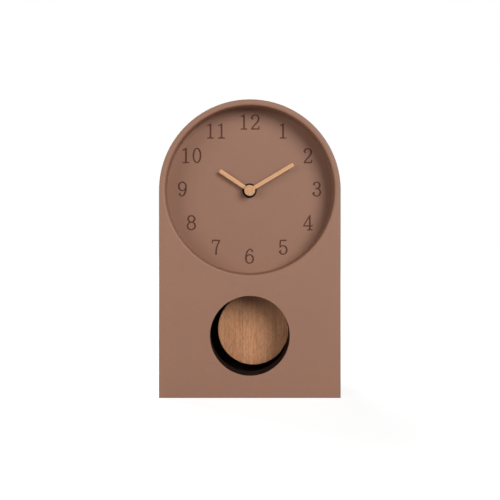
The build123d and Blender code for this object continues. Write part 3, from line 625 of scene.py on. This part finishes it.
class Numeral:
    """A numeral's strokes, made as closed forms with sloping sides to cut the dial with."""

    def __init__(self, bm, x, z):
        self.bm = bm
        self.x = x
        self.z = z
        self.turned = False

    def spot(self, x, y, depth):
        """A place on the grid as a point on the dial."""
        if self.turned:
            x, y = -x, NUMERAL_HEIGHT - y
        return Vector((self.x + x * NUMERAL_UNIT, dial_low.y + depth,
                       self.z + (y - NUMERAL_HEIGHT / 2) * NUMERAL_UNIT_UP))

    def stroke(self, points, halves, closed=False):
        """A stroke along points.

        halves(share, side) gives half its width, by the share of the way and where its side faces."""
        count = len(points)
        rows = [[], [], [], []]
        for i, (x, y) in enumerate(points):
            before = points[i - 1] if closed or i else points[i]
            after = points[(i + 1) % count] if closed or i < count - 1 else points[i]
            run = (after[0] - before[0], after[1] - before[1])
            size = hypot(*run)
            side = (-run[1] / size, run[0] / size)
            half = halves(i / (count - 1), side)
            for row, (way, depth) in zip(rows, [(1, 0), (-1, 0), (-1, 1), (1, 1)]):
                reach = way * (half - NUMERAL_DRAFT * depth)
                place = NUMERAL_DEPTH if depth else -NUMERAL_PROUD
                row.append(self.spot(x + side[0] * reach, y + side[1] * reach, place))
        bridge_round(self.bm, [ring(self.bm, row) for row in rows], closed)

    def even(self, points, half):
        """A stroke of one width."""
        self.stroke(points, lambda share, side: half)

    def tapered(self, points, first, last):
        """A stroke that goes from one half width to another."""
        self.stroke(points, lambda share, side: first + (last - first) * share)

    def bowed(self, points, closed=False):
        """A round stroke: a stem's width where it runs upright, a hair's where it runs level."""
        self.stroke(points, lambda share, side: HAIR + (STEM - HAIR) * side[0] ** 2, closed)

    def ball(self, x, y, radius):
        """A round terminal."""
        levels = []
        for depth, size in [(-NUMERAL_PROUD, radius), (NUMERAL_DEPTH, radius - NUMERAL_DRAFT)]:
            points = [(x + size * cos(turn), y + size * sin(turn)) for turn in full_turn(BALL_STEPS)]
            levels.append(ring(self.bm, [self.spot(a, b, depth) for a, b in points]))
        close_form(self.bm, levels)

    def loop(self, centre, radii):
        """A closed oval."""
        self.bowed(ellipse(centre, radii, 0, 360, LOOP_STEPS)[:-1], closed=True)

    def draw(self, digit):
        """One digit about its middle line; a nine is a six that stands on its head."""
        if digit == "9":
            self.turned = True
            digit = "6"
        getattr(self, "digit_" + digit)()

    def digit_0(self):
        self.loop((0, 7.5), (3.55, 6.85))

    def digit_1(self):
        self.even([(0, 0.4), (0, 14.7)], STEM)
        self.tapered(smooth_path([(0.1, 14.3), (-1.2, 13.2), (-2.6, 12.7)]), HAIR + 0.1, HAIR - 0.05)
        self.ball(-2.7, 12.95, 0.72)
        self.even([(-3.3, 0.55), (3.3, 0.55)], HAIR)
        self.tapered([(0, 0.2), (0, 2.2)], 1.6, STEM)

    def digit_2(self):
        self.ball(-2.65, 10.75, 1.08)
        over = ellipse((0.05, 10.6), (3.55, 3.65), 178, -6)
        down = smooth_path([over[-1], (3.0, 8.7), (1.6, 6.7), (-0.9, 4.1), (-3.3, 0.9)])
        self.bowed(over)
        self.tapered(down, STEM, HAIR + 0.1)
        self.even([(-3.9, 0.62), (3.9, 0.62)], HAIR + 0.12)
        self.tapered([(3.55, 0.4), (4.0, 3.5)], HAIR + 0.08, HAIR - 0.08)

    def digit_3(self):
        self.ball(-2.5, 11.9, 1.0)
        self.bowed(ellipse((-0.05, 11.15), (3.15, 3.1), 168, -92))
        self.even([(-1.5, 8.05), (0.1, 8.05)], HAIR - 0.05)
        self.bowed(ellipse((-0.1, 4.4), (3.75, 3.65), 92, -172))
        self.ball(-2.75, 3.95, 1.05)

    def digit_4(self):
        self.even([(2.1, 0.4), (2.1, 14.7)], STEM)
        self.even([(2.0, 14.4), (-4.0, 4.6)], HAIR + 0.06)
        self.even([(-4.5, 4.35), (4.6, 4.35)], HAIR + 0.06)
        self.tapered([(4.35, 4.35), (4.6, 5.6)], HAIR - 0.1, HAIR - 0.14)
        self.even([(-0.7, 0.55), (4.8, 0.55)], HAIR)
        self.tapered([(2.1, 0.2), (2.1, 2.0)], 1.5, STEM)

    def digit_5(self):
        self.even([(-3.0, 14.15), (3.6, 14.15)], STEM - 0.1)
        self.even([(-2.75, 14.4), (-3.1, 7.4)], HAIR + 0.05)
        self.bowed(ellipse((-0.1, 4.9), (3.75, 4.2), 146, -166))
        self.ball(-2.75, 3.8, 1.05)

    def digit_6(self):
        self.loop((0.0, 4.85), (3.6, 4.15))
        self.bowed(smooth_path([(2.95, 12.4), (1.9, 13.9), (0.4, 14.3), (-1.5, 13.1), (-2.9, 10.4),
                                (-3.55, 7.2), (-3.6, 4.85)]))
        self.ball(2.65, 12.25, 0.95)

    def digit_7(self):
        self.even([(-3.6, 14.15), (4.2, 14.15)], STEM - 0.12)
        self.tapered([(-3.35, 14.5), (-3.8, 11.3)], HAIR, HAIR - 0.02)
        down = smooth_path([(3.85, 14.0), (2.2, 11.0), (0.9, 7.6), (0.2, 3.9), (0.1, 0.3)])
        self.tapered(down, HAIR + 0.1, 0.95)

    def digit_8(self):
        self.loop((0.0, 11.2), (3.2, 3.1))
        self.loop((0.0, 4.3), (3.75, 3.65))


def make_dial():
    """The dial board: the floor of the recess with the hours cut in it, and the bob's way through."""
    bm = bmesh.new()
    front, back = dial_low.y, dial_high.y
    outer = [ring(bm, at_depth(arch(ARCH_HALF, dial_low.z), y)) for y in (back, front)]
    bush = hole_rings(bm, BUSH_HOLE_RADIUS, ARCH_SPRING, BORE_STEPS, front, back)
    window = hole_rings(bm, BACK_WINDOW_RADIUS, WINDOW_Z, WINDOW_STEPS, front, back)
    bridge_all(bm, outer)
    bridge_all(bm, bush, BLACK)
    bridge_all(bm, window, BLACK)
    # The dial's face takes the darker dial finish: painted shade of the recess
    fill(bm, [outer[1], bush[1], window[1]], DIAL_RECESS_SHADED)
    fill(bm, [outer[0], bush[0], window[0]], BLACK)
    made = new_object("dial", bm, [paint, inner_black, groove_shade_paint, dial_recess_shade_paint])
    strokes = bmesh.new()
    for hour in range(1, HOURS + 1):
        turn = radians(360 / HOURS * hour)
        x = NUMERAL_CIRCLE * sin(turn)
        z = ARCH_SPRING + NUMERAL_RAISE + NUMERAL_CIRCLE * cos(turn)
        digits = str(hour)
        shifts = [FIRST_DIGIT_SHIFT, SECOND_DIGIT_SHIFT] if len(digits) == 2 else [0]
        for digit, shift in zip(digits, shifts):
            Numeral(strokes, x + shift * NUMERAL_UNIT, z).draw(digit)
    carve(made, strokes)
    # Faces inside the cut hours take the dark groove finish: painted shade
    for face in made.data.polygons:
        away = hypot(face.center.x, face.center.z - ARCH_SPRING)
        among_hours = BUSH_HOLE_RADIUS * 2 < away < DIAL_RADIUS
        if among_hours and front < face.center.y - CUT_LAP < front + NUMERAL_DEPTH:
            face.material_index = GROOVE_SHADED
    return dress(made, "case", "case_paint", "dial_board")


def make_case_sides():
    """The hoop behind the dial board: painted outside, black inside, rebated for the back panel."""
    bm = bmesh.new()
    front, back = frame_low.y, frame_high.y
    edge = [(inset, back - depth) for inset, depth in rounding(BACK_ROUND)]
    section = [(0, front), *edge, (CASE_WALL, back), (CASE_WALL, front)]
    rows = [ring(bm, at_depth(arch(ARCH_HALF - inset, frame_low.z), y)) for inset, y in section]
    bridge_round(bm, rows, closed=False)
    made = new_object("case_sides", bm, [paint, inner_black])
    rebate = bmesh.new()
    rebate_half = ARCH_HALF - REBATE_WALL
    close_form(rebate, [ring(rebate, at_depth(arch(rebate_half, REBATE_FOOT), y))
                        for y in (back - REBATE_DEPTH, back + REBATE_DEPTH)])
    carve(made, rebate)
    for face in made.data.polygons:
        x, y, z = face.center
        within_hoop = hypot(x, max(z - ARCH_SPRING, 0)) < rebate_half + BLACK_LAP
        inside = within_hoop and z > REBATE_FOOT + BLACK_LAP and y < back - BLACK_LAP
        face.material_index = BLACK if inside else PAINTED
    return dress(made, "case", "case_paint", "case_frame")


def hand_outline(length, hub, inset):
    """(x, z) round a hand that points up: hub, bar and rounded tip, drawn in by an inset."""
    half = HAND_HALF - inset
    round_hub = hub - inset
    tip = HAND_TIP_ROUND - inset
    meet = asin(half / round_hub)
    turns = [meet + (2 * pi - 2 * meet) * i / HUB_STEPS for i in range(HUB_STEPS + 1)]
    points = [(round_hub * sin(turn), round_hub * cos(turn)) for turn in turns]
    top = length - inset - tip
    for side, first in [(-1, pi), (1, pi / 2)]:
        for i in range(HAND_TIP_STEPS + 1):
            turn = first - pi / 2 * i / HAND_TIP_STEPS
            points.append((side * (half - tip) + tip * cos(turn), top + tip * sin(turn)))
    return points


def make_hand(name, node, body, length, hub, bore, angle):
    """A flat wooden hand with softened edges, bored for its pipe or arbor."""
    low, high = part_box(node)
    bm = bmesh.new()
    thick = high.y - low.y
    edge = rounding(HAND_ROUND, HAND_ROUND_STEPS)
    levels = edge[::-1] + [(inset, thick - depth) for inset, depth in edge]
    rings = [ring(bm, at_depth(hand_outline(length, hub, inset), depth)) for inset, depth in levels]
    holes = [ring(bm, at_depth(circle(bore, 0, BORE_STEPS), depth)) for depth in (0, thick)]
    bridge_all(bm, rings)
    bridge_all(bm, holes)
    fill(bm, [rings[0], holes[0]])
    fill(bm, [rings[-1], holes[1]])
    made = new_object(name, bm, [hand_wood])
    made.matrix_world = Matrix.Translation((0, low.y, ARCH_SPRING)) @ Matrix.Rotation(angle, 4, "Y")
    return dress(made, body, "hand_wood", node)


def lathe(bm, profile, steps, point, materials=None):
    """Turns (radius, along) pairs round an axis; point(radius, turn, along) gives a place in space."""
    rings = []
    for radius, along in profile:
        turns = full_turn(steps) if radius else [0]
        rings.append(ring(bm, [point(radius, turn, along) for turn in turns]))
    for i, (first, second) in enumerate(zip(rings, rings[1:])):
        material = materials[i] if materials else 0
        if len(first) == 1 or len(second) == 1:
            tip, rim = (first[0], second) if len(first) == 1 else (second[0], first)
            for a, b in zip(rim, rim[1:] + rim[:1]):
                bm.faces.new((tip, a, b)).material_index = material
        else:
            bridge(bm, first, second, material=material)


def about_y(x, z):
    """Places round an axis that runs from front to back through (x, z)."""
    return lambda radius, turn, along: Vector((x + radius * cos(turn), along, z + radius * sin(turn)))


def about_x(y, z):
    """Places round an axis that runs from left to right through (y, z)."""
    return lambda radius, turn, along: Vector((along, y + radius * cos(turn), z + radius * sin(turn)))


def disc_profile(radius, front, back, front_round, back_round):
    """(radius, y) pairs of a disc with rounded edges, from mid-face to mid-back."""
    face_edge = reversed(rounding(front_round, DISC_ROUND_STEPS))
    face = [(radius - inset, front + depth) for inset, depth in face_edge]
    rear = [(radius - inset, back - depth) for inset, depth in rounding(back_round, DISC_ROUND_STEPS)]
    return [(0, front), *face, *rear, (0, back)]


def make_cap():
    """The wooden button over the middle of the hands."""
    low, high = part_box("hand_cap")
    bm = bmesh.new()
    profile = disc_profile((high.x - low.x) / 2, low.y, high.y, CAP_ROUND, CAP_BACK_ROUND)
    lathe(bm, profile, CAP_STEPS, about_y(0, ARCH_SPRING))
    return dress(new_object("hand_button", bm, [cap_wood]), "minute", "hand_wood", "hand_cap")


def make_bob():
    """The bob: a turned wooden disc on the rod."""
    low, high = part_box("bob")
    bm = bmesh.new()
    middle = (low + high) / 2
    profile = disc_profile((high.z - low.z) / 2, low.y, high.y, BOB_ROUND, BOB_ROUND)
    lathe(bm, profile, BOB_STEPS, about_y(middle.x, middle.z))
    return dress(new_object("bob_disc", bm, [bob_wood]), "pendulum", "bob_wood", "bob")


def make_battery():
    """A plain cell: crimped sleeve, a band at its far end, a steel foot and a stepped steel cap."""
    low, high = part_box("battery")
    bm = bmesh.new()
    middle = (low + high) / 2
    radius = (high.z - low.z) / 2
    foot, tip = low.x, high.x
    profile = [(out * MM, foot + along * MM) for out, along in CELL_FOOT]
    profile += [(radius - CELL_CRIMP, foot + CELL_FOOT_CRIMP[0]), (radius, foot + CELL_FOOT_CRIMP[1])]
    profile.append((radius, foot + CELL_BAND_START))
    profile += [(radius, tip - CELL_TIP_CRIMP[0]), (radius - CELL_CRIMP, tip - CELL_TIP_CRIMP[1])]
    profile += [(out * MM, tip - along * MM) for out, along in CELL_TIP]
    lathe(bm, profile, CELL_STEPS, about_x(middle.y, middle.z), CELL_FINISHES)
    made = new_object("battery_cell", bm, [sleeve, sleeve_band, crystal_can])
    return dress(made, "case", "cell_sleeve", "battery")


def screw_profile(foot):
    """(radius, y) pairs of a pan head on the panel: a short upright side, a dome and a flat top."""
    made = [(0, foot), (SCREW_RADIUS, foot)]
    for i in range(SCREW_DOME_STEPS + 1):
        turn = pi / 2 * i / SCREW_DOME_STEPS
        out = SCREW_FLAT_SHARE + (1 - SCREW_FLAT_SHARE) * cos(turn)
        up = SCREW_SIDE_SHARE + (1 - SCREW_SIDE_SHARE) * sin(turn)
        made.append((SCREW_RADIUS * out, foot + SCREW_RISE * up))
    return [*made, (0, foot + SCREW_RISE)]


def make_screws():
    """The back panel's pan-head screws, each with a cross cut in its head."""
    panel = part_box("back_panel")[1].y
    top = panel + SCREW_RISE
    profile = screw_profile(panel)
    ends = [(top + SCREW_CROSS_PROUD, SCREW_CROSS_REACH, SCREW_CROSS_HALF),
            (top - SCREW_CROSS_DEPTH, SCREW_CROSS_REACH * SCREW_CROSS_REACH_SHARE,
             SCREW_CROSS_HALF * SCREW_CROSS_HALF_SHARE)]
    bm = bmesh.new()
    cross = bmesh.new()
    for i, place in enumerate(SCREW_PLACES):
        x, z = place[0] * MM, place[1] * MM
        lathe(bm, profile, SCREW_STEPS, about_y(x, z))
        first_turn = SCREW_FIRST_TURN + SCREW_NEXT_TURN * i
        for turn in (first_turn, first_turn + pi / 2):
            along = Vector((cos(turn), 0, sin(turn)))
            across = Vector((-sin(turn), 0, cos(turn)))
            levels = []
            for y, reach, half in ends:
                corners = [along * reach * a + across * half * b for a, b in SQUARE]
                levels.append(ring(cross, [Vector((x, y, z)) + corner for corner in corners]))
            close_form(cross, levels)
    made = new_object("panel_screws", bm, [steel])
    carve(made, cross)
    return dress(made, "case", "steel")


def box_outline(x, z, half_x, half_z):
    """A flat rectangle's outline as a function of how far it is drawn in."""
    return lambda inset: [(x + a * (half_x - inset), z + b * (half_z - inset)) for a, b in SQUARE]


def plus_outline(x, z, reach, half):
    """A plus sign's outline as a function of how far it is drawn in."""
    def points(inset):
        r, h = reach - inset, half - inset
        corner = [(r, -h), (r, h), (h, h)]
        turned = []
        for way_x, way_z in [(1, 0), (0, 1), (-1, 0), (0, -1)]:
            turned += [(x + a * way_x - b * way_z, z + a * way_z + b * way_x) for a, b in corner]
        return turned
    return points


def arc_outline(x, z, radius, half, first, last):
    """A bent bar's outline about a centre as a function of how far it is drawn in."""
    def points(inset):
        outer, inner = radius + half - inset, radius - half + inset
        return (ellipse((x, z), (outer, outer), first, last)
                + ellipse((x, z), (inner, inner), first, last)[::-1])
    return points


def head_outline(x, z, radius, angle, way):
    """An arrow head's outline at the end of a bent bar as a function of how far it is drawn in."""
    turn = radians(angle)
    out = Vector((cos(turn), sin(turn)))
    on = Vector((-sin(turn), cos(turn))) * way
    foot = Vector((x, z)) + out * radius

    def points(inset):
        size = ARROW_HEAD - inset
        return [tuple(foot + out * size + on * inset), tuple(foot - out * size + on * inset),
                tuple(foot + on * (2 * ARROW_HEAD - 2 * inset))]
    return points


def rim_outline(inset):
    """The rim's outer edge, drawn in by an inset."""
    half, low, high = RIM_HALF - inset, RIM_LOW + inset, RIM_HIGH - inset
    cut = RIM_CORNER - RIM_CORNER_LOSS * inset
    right = [(half - cut, low), (half, low + cut), (half, high - cut), (half - cut, high)]
    return right + [(-x, z) for x, z in reversed(right)]


def raise_form(bm, outline, rise, spot):
    """A closed form that stands on an outline, with its top edge taken off.

    spot(a, b, height) gives a place in space."""
    levels = [(0, MOULD_SINK), (0, rise - MOULD_EDGE), (MOULD_EDGE, rise)]
    close_form(bm, [
        ring(bm, [spot(a, b, height) for a, b in outline(inset)]) for inset, height in levels])


def make_mouldings():
    """What is moulded on the movement: rim, bearings, ribs, signs, setting arrows and clips."""
    bm = bmesh.new()
    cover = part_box("movement_cover")[1]

    def on_back(x, z, height):
        """A place that stands out from the back."""
        return Vector((x * MM, cover.y + height * MM, z * MM))

    def round_back(x, z):
        """Places round an axis that runs out of the back at (x, z)."""
        return lambda radius, turn, along: on_back(x + radius * cos(turn), z + radius * sin(turn), along)

    def on_side(way):
        """Places that stand out from the left or right side."""
        return lambda y, z, height: Vector((way * (cover.x + height * MM), y * MM, z * MM))

    edges = [(0, MOULD_SINK), (0, RIM_RISE - MOULD_EDGE), (MOULD_EDGE, RIM_RISE),
             (RIM_THICK - MOULD_EDGE, RIM_RISE), (RIM_THICK, RIM_RISE - MOULD_EDGE),
             (RIM_THICK, MOULD_SINK)]
    rings = [ring(bm, [on_back(x, z, height) for x, z in rim_outline(inset)]) for inset, height in edges]
    bridge_round(bm, rings, closed=True)
    cup = BEARING_RISE - BEARING_CUP_DEPTH
    bearing = [(0, MOULD_SINK), (BEARING_RADIUS, MOULD_SINK),
               (BEARING_RADIUS, BEARING_RISE - BEARING_EDGE),
               (BEARING_RADIUS - BEARING_EDGE, BEARING_RISE),
               (BEARING_CUP_MOUTH, BEARING_RISE), (BEARING_CUP_FLOOR, cup), (0, cup)]
    for x, z in BEARING_PLACES:
        lathe(bm, bearing, BEARING_STEPS, round_back(x, z))
    flat = [box_outline(-SIGN_PLACE[0], SIGN_PLACE[1], SIGN_REACH, SIGN_HALF),
            plus_outline(*SIGN_PLACE, SIGN_REACH, SIGN_HALF),
            arc_outline(*KNOB_PLACE, ARROW_RADIUS, ARROW_HALF, ARROW_FIRST, ARROW_LAST),
            head_outline(*KNOB_PLACE, ARROW_RADIUS, ARROW_FIRST, -1),
            head_outline(*KNOB_PLACE, ARROW_RADIUS, ARROW_LAST, 1)]
    flat += [box_outline(0, z, *GRIP_HALF) for z in GRIP_LEVELS]
    low, high = DRIVE_RIB_SPAN
    flat += [box_outline(x, (low + high) / 2, DRIVE_RIB_HALF, (high - low) / 2) for x in DRIVE_RIBS]
    for outline in flat:
        raise_form(bm, outline, MARK_RISE, on_back)
    for way in (-1, 1):
        for z in CLIP_LEVELS:
            for first, last, rise in CLIP_PARTS:
                clip = box_outline((first + last) / 2, z, (last - first) / 2, CLIP_HALF)
                raise_form(bm, clip, rise, on_side(way))
    return dress(new_object("cover_mouldings", bm, [housing_black]), "case", "housing_plastic")


FINISHES = {
    "base_board": paint, "back_panel": board_black, "gasket": rubber, "dial_washer": black_metal,
    "dial_nut": black_metal, "movement_housing": housing_black, "movement_cover": housing_black,
    "train_pins": steel, "stator": core_steel, "coil_core": core_steel, "motor_coil": motor_wire,
    "circuit_board": circuit, "quartz_crystal": crystal_can, "contact_negative": brass,
    "contact_positive": brass, "drive_coil": drive_wire, "pendulum_pivot": steel, "minute_arbor": brass,
    "hour_wheel": gear_white, "minute_wheel": gear_white, "setting_arbor": knob_black,
    "setting_knob": knob_black, "centre_wheel": gear_white, "third_wheel": gear_white,
    "second_wheel": gear_white, "fifth_wheel": gear_white, "rotor": magnet,
    "pendulum_hanger": housing_black, "drive_magnet": magnet, "pendulum_rod": steel,
}


def finish_nodes():
    """Gives each node that stays its own finish."""
    for name, material in FINISHES.items():
        mesh = nodes[name].data
        mesh.materials.clear()
        mesh.materials.append(material)


make_case_front()
make_dial()
make_case_sides()
make_hand("hour_hand_wood", "hour_hand", "hour",
          HOUR_LENGTH, HOUR_HUB_RADIUS, HOUR_BORE_RADIUS, HOUR_ANGLE)
make_hand("minute_hand_wood", "minute_hand", "minute",
          MINUTE_LENGTH, MINUTE_HUB_RADIUS, MINUTE_BORE_RADIUS, MINUTE_ANGLE)
make_cap()
make_bob()
make_battery()
make_screws()
make_mouldings()
finish_nodes()

# Studio: pale floor, soft key from the upper right, weaker light from the left, fill, light behind
FLOOR_HALF = 4.0
FLOOR_DARKER = 0.24
FLOOR_LIGHTER = 0.26
FLOOR_NEAR = 0.16
FLOOR_FAR = 0.7
FLOOR_GLOW_NEAR = 0.86
FLOOR_GLOW_FAR = 1.0
FRONT_DISTANCE = 2.2
FRONT_SIZE = 1.34
KEY_TURN = radians(31)
KEY_RISE = radians(20.1)
KEY_POWER = 38.8
SIDE_TURN = radians(-45)
SIDE_RISE = radians(11)
SIDE_POWER = 17.0
BACK_TURN = radians(-148)
BACK_RISE = radians(40)
BACK_DISTANCE = 1.5
BACK_SIZE = 1.2
BACK_POWER = 26.0
FILL_STRENGTH = 0.02
AIM = Vector((0, 0, 0.13))


def area_light(name, turn, rise, distance, size, power):
    """A soft disc of light aimed at the middle of the clock; turn is to the right of the front."""
    data = bpy.data.lights.new(name, "AREA")
    data.shape = "DISK"
    data.size = size
    data.energy = power
    lamp = bpy.data.objects.new(name, data)
    away = Vector((sin(turn) * cos(rise), -cos(turn) * cos(rise), sin(rise)))
    lamp.location = AIM + away * distance
    lamp.rotation_euler = away.to_track_quat("Z", "Y").to_euler()
    scene.collection.objects.link(lamp)


def make_floor():
    """A plain pale floor under the clock, which glows white to look at and lights nothing by it."""
    bm = bmesh.new()
    bm.faces.new(ring(bm, [Vector((FLOOR_HALF * x, FLOOR_HALF * y, 0)) for x, y in SQUARE]))
    shader = Shader("floor", Roughness=0.9)
    shader.shaded(shader.noise(scale=3), WHITE, FLOOR_DARKER, FLOOR_LIGHTER)
    shader.put("Emission Color", (*WHITE, 1))
    path = shader.add("ShaderNodeLightPath")
    away = shader.add("ShaderNodeVectorMath", {"Vector": shader.place}, operation="LENGTH")
    glow = shader.span(away.outputs["Value"], FLOOR_NEAR, FLOOR_FAR, FLOOR_GLOW_NEAR, FLOOR_GLOW_FAR)
    shader.put("Emission Strength", shader.math("MULTIPLY", path.outputs["Is Camera Ray"], glow))
    new_object("floor", bm, [shader.material])


def make_world():
    """White all round to look at, softer as a light."""
    world = bpy.data.worlds.new("studio")
    world.use_nodes = True
    scene.world = world
    tree = world.node_tree
    seen = tree.nodes["Background"]
    light = tree.nodes.new("ShaderNodeBackground")
    for background, strength in [(seen, 1.0), (light, FILL_STRENGTH)]:
        background.inputs["Color"].default_value = (*WHITE, 1)
        background.inputs["Strength"].default_value = strength
    path = tree.nodes.new("ShaderNodeLightPath")
    mix = tree.nodes.new("ShaderNodeMixShader")
    tree.links.new(path.outputs["Is Camera Ray"], mix.inputs[0])
    tree.links.new(light.outputs[0], mix.inputs[1])
    tree.links.new(seen.outputs[0], mix.inputs[2])
    tree.links.new(mix.outputs[0], tree.nodes["World Output"].inputs["Surface"])


# Camera: level, a little left of the middle and at the height of the dial's lower half
CAMERA_PLACE = Vector((-0.010, -0.635, 0.150))
CAMERA_LENS = 53.85
CAMERA_SENSOR = 36.0
CAMERA_SHIFT = (0.0252, -0.0775)


def make_camera():
    """A level camera, its frame slid a little to set the clock as it stands in the picture."""
    data = bpy.data.cameras.new("camera")
    data.sensor_width = CAMERA_SENSOR
    data.lens = CAMERA_LENS
    data.shift_x, data.shift_y = CAMERA_SHIFT
    made = bpy.data.objects.new("camera", data)
    made.location = CAMERA_PLACE
    made.rotation_euler = (pi / 2, 0, 0)
    scene.collection.objects.link(made)
    scene.camera = made


make_floor()
make_world()
make_camera()
area_light("key", KEY_TURN, KEY_RISE, FRONT_DISTANCE, FRONT_SIZE, KEY_POWER)
area_light("side", SIDE_TURN, SIDE_RISE, FRONT_DISTANCE, FRONT_SIZE, SIDE_POWER)
area_light("behind", BACK_TURN, BACK_RISE, BACK_DISTANCE, BACK_SIZE, BACK_POWER)
scene.view_settings.view_transform = "Standard"
scene.view_settings.look = "None"
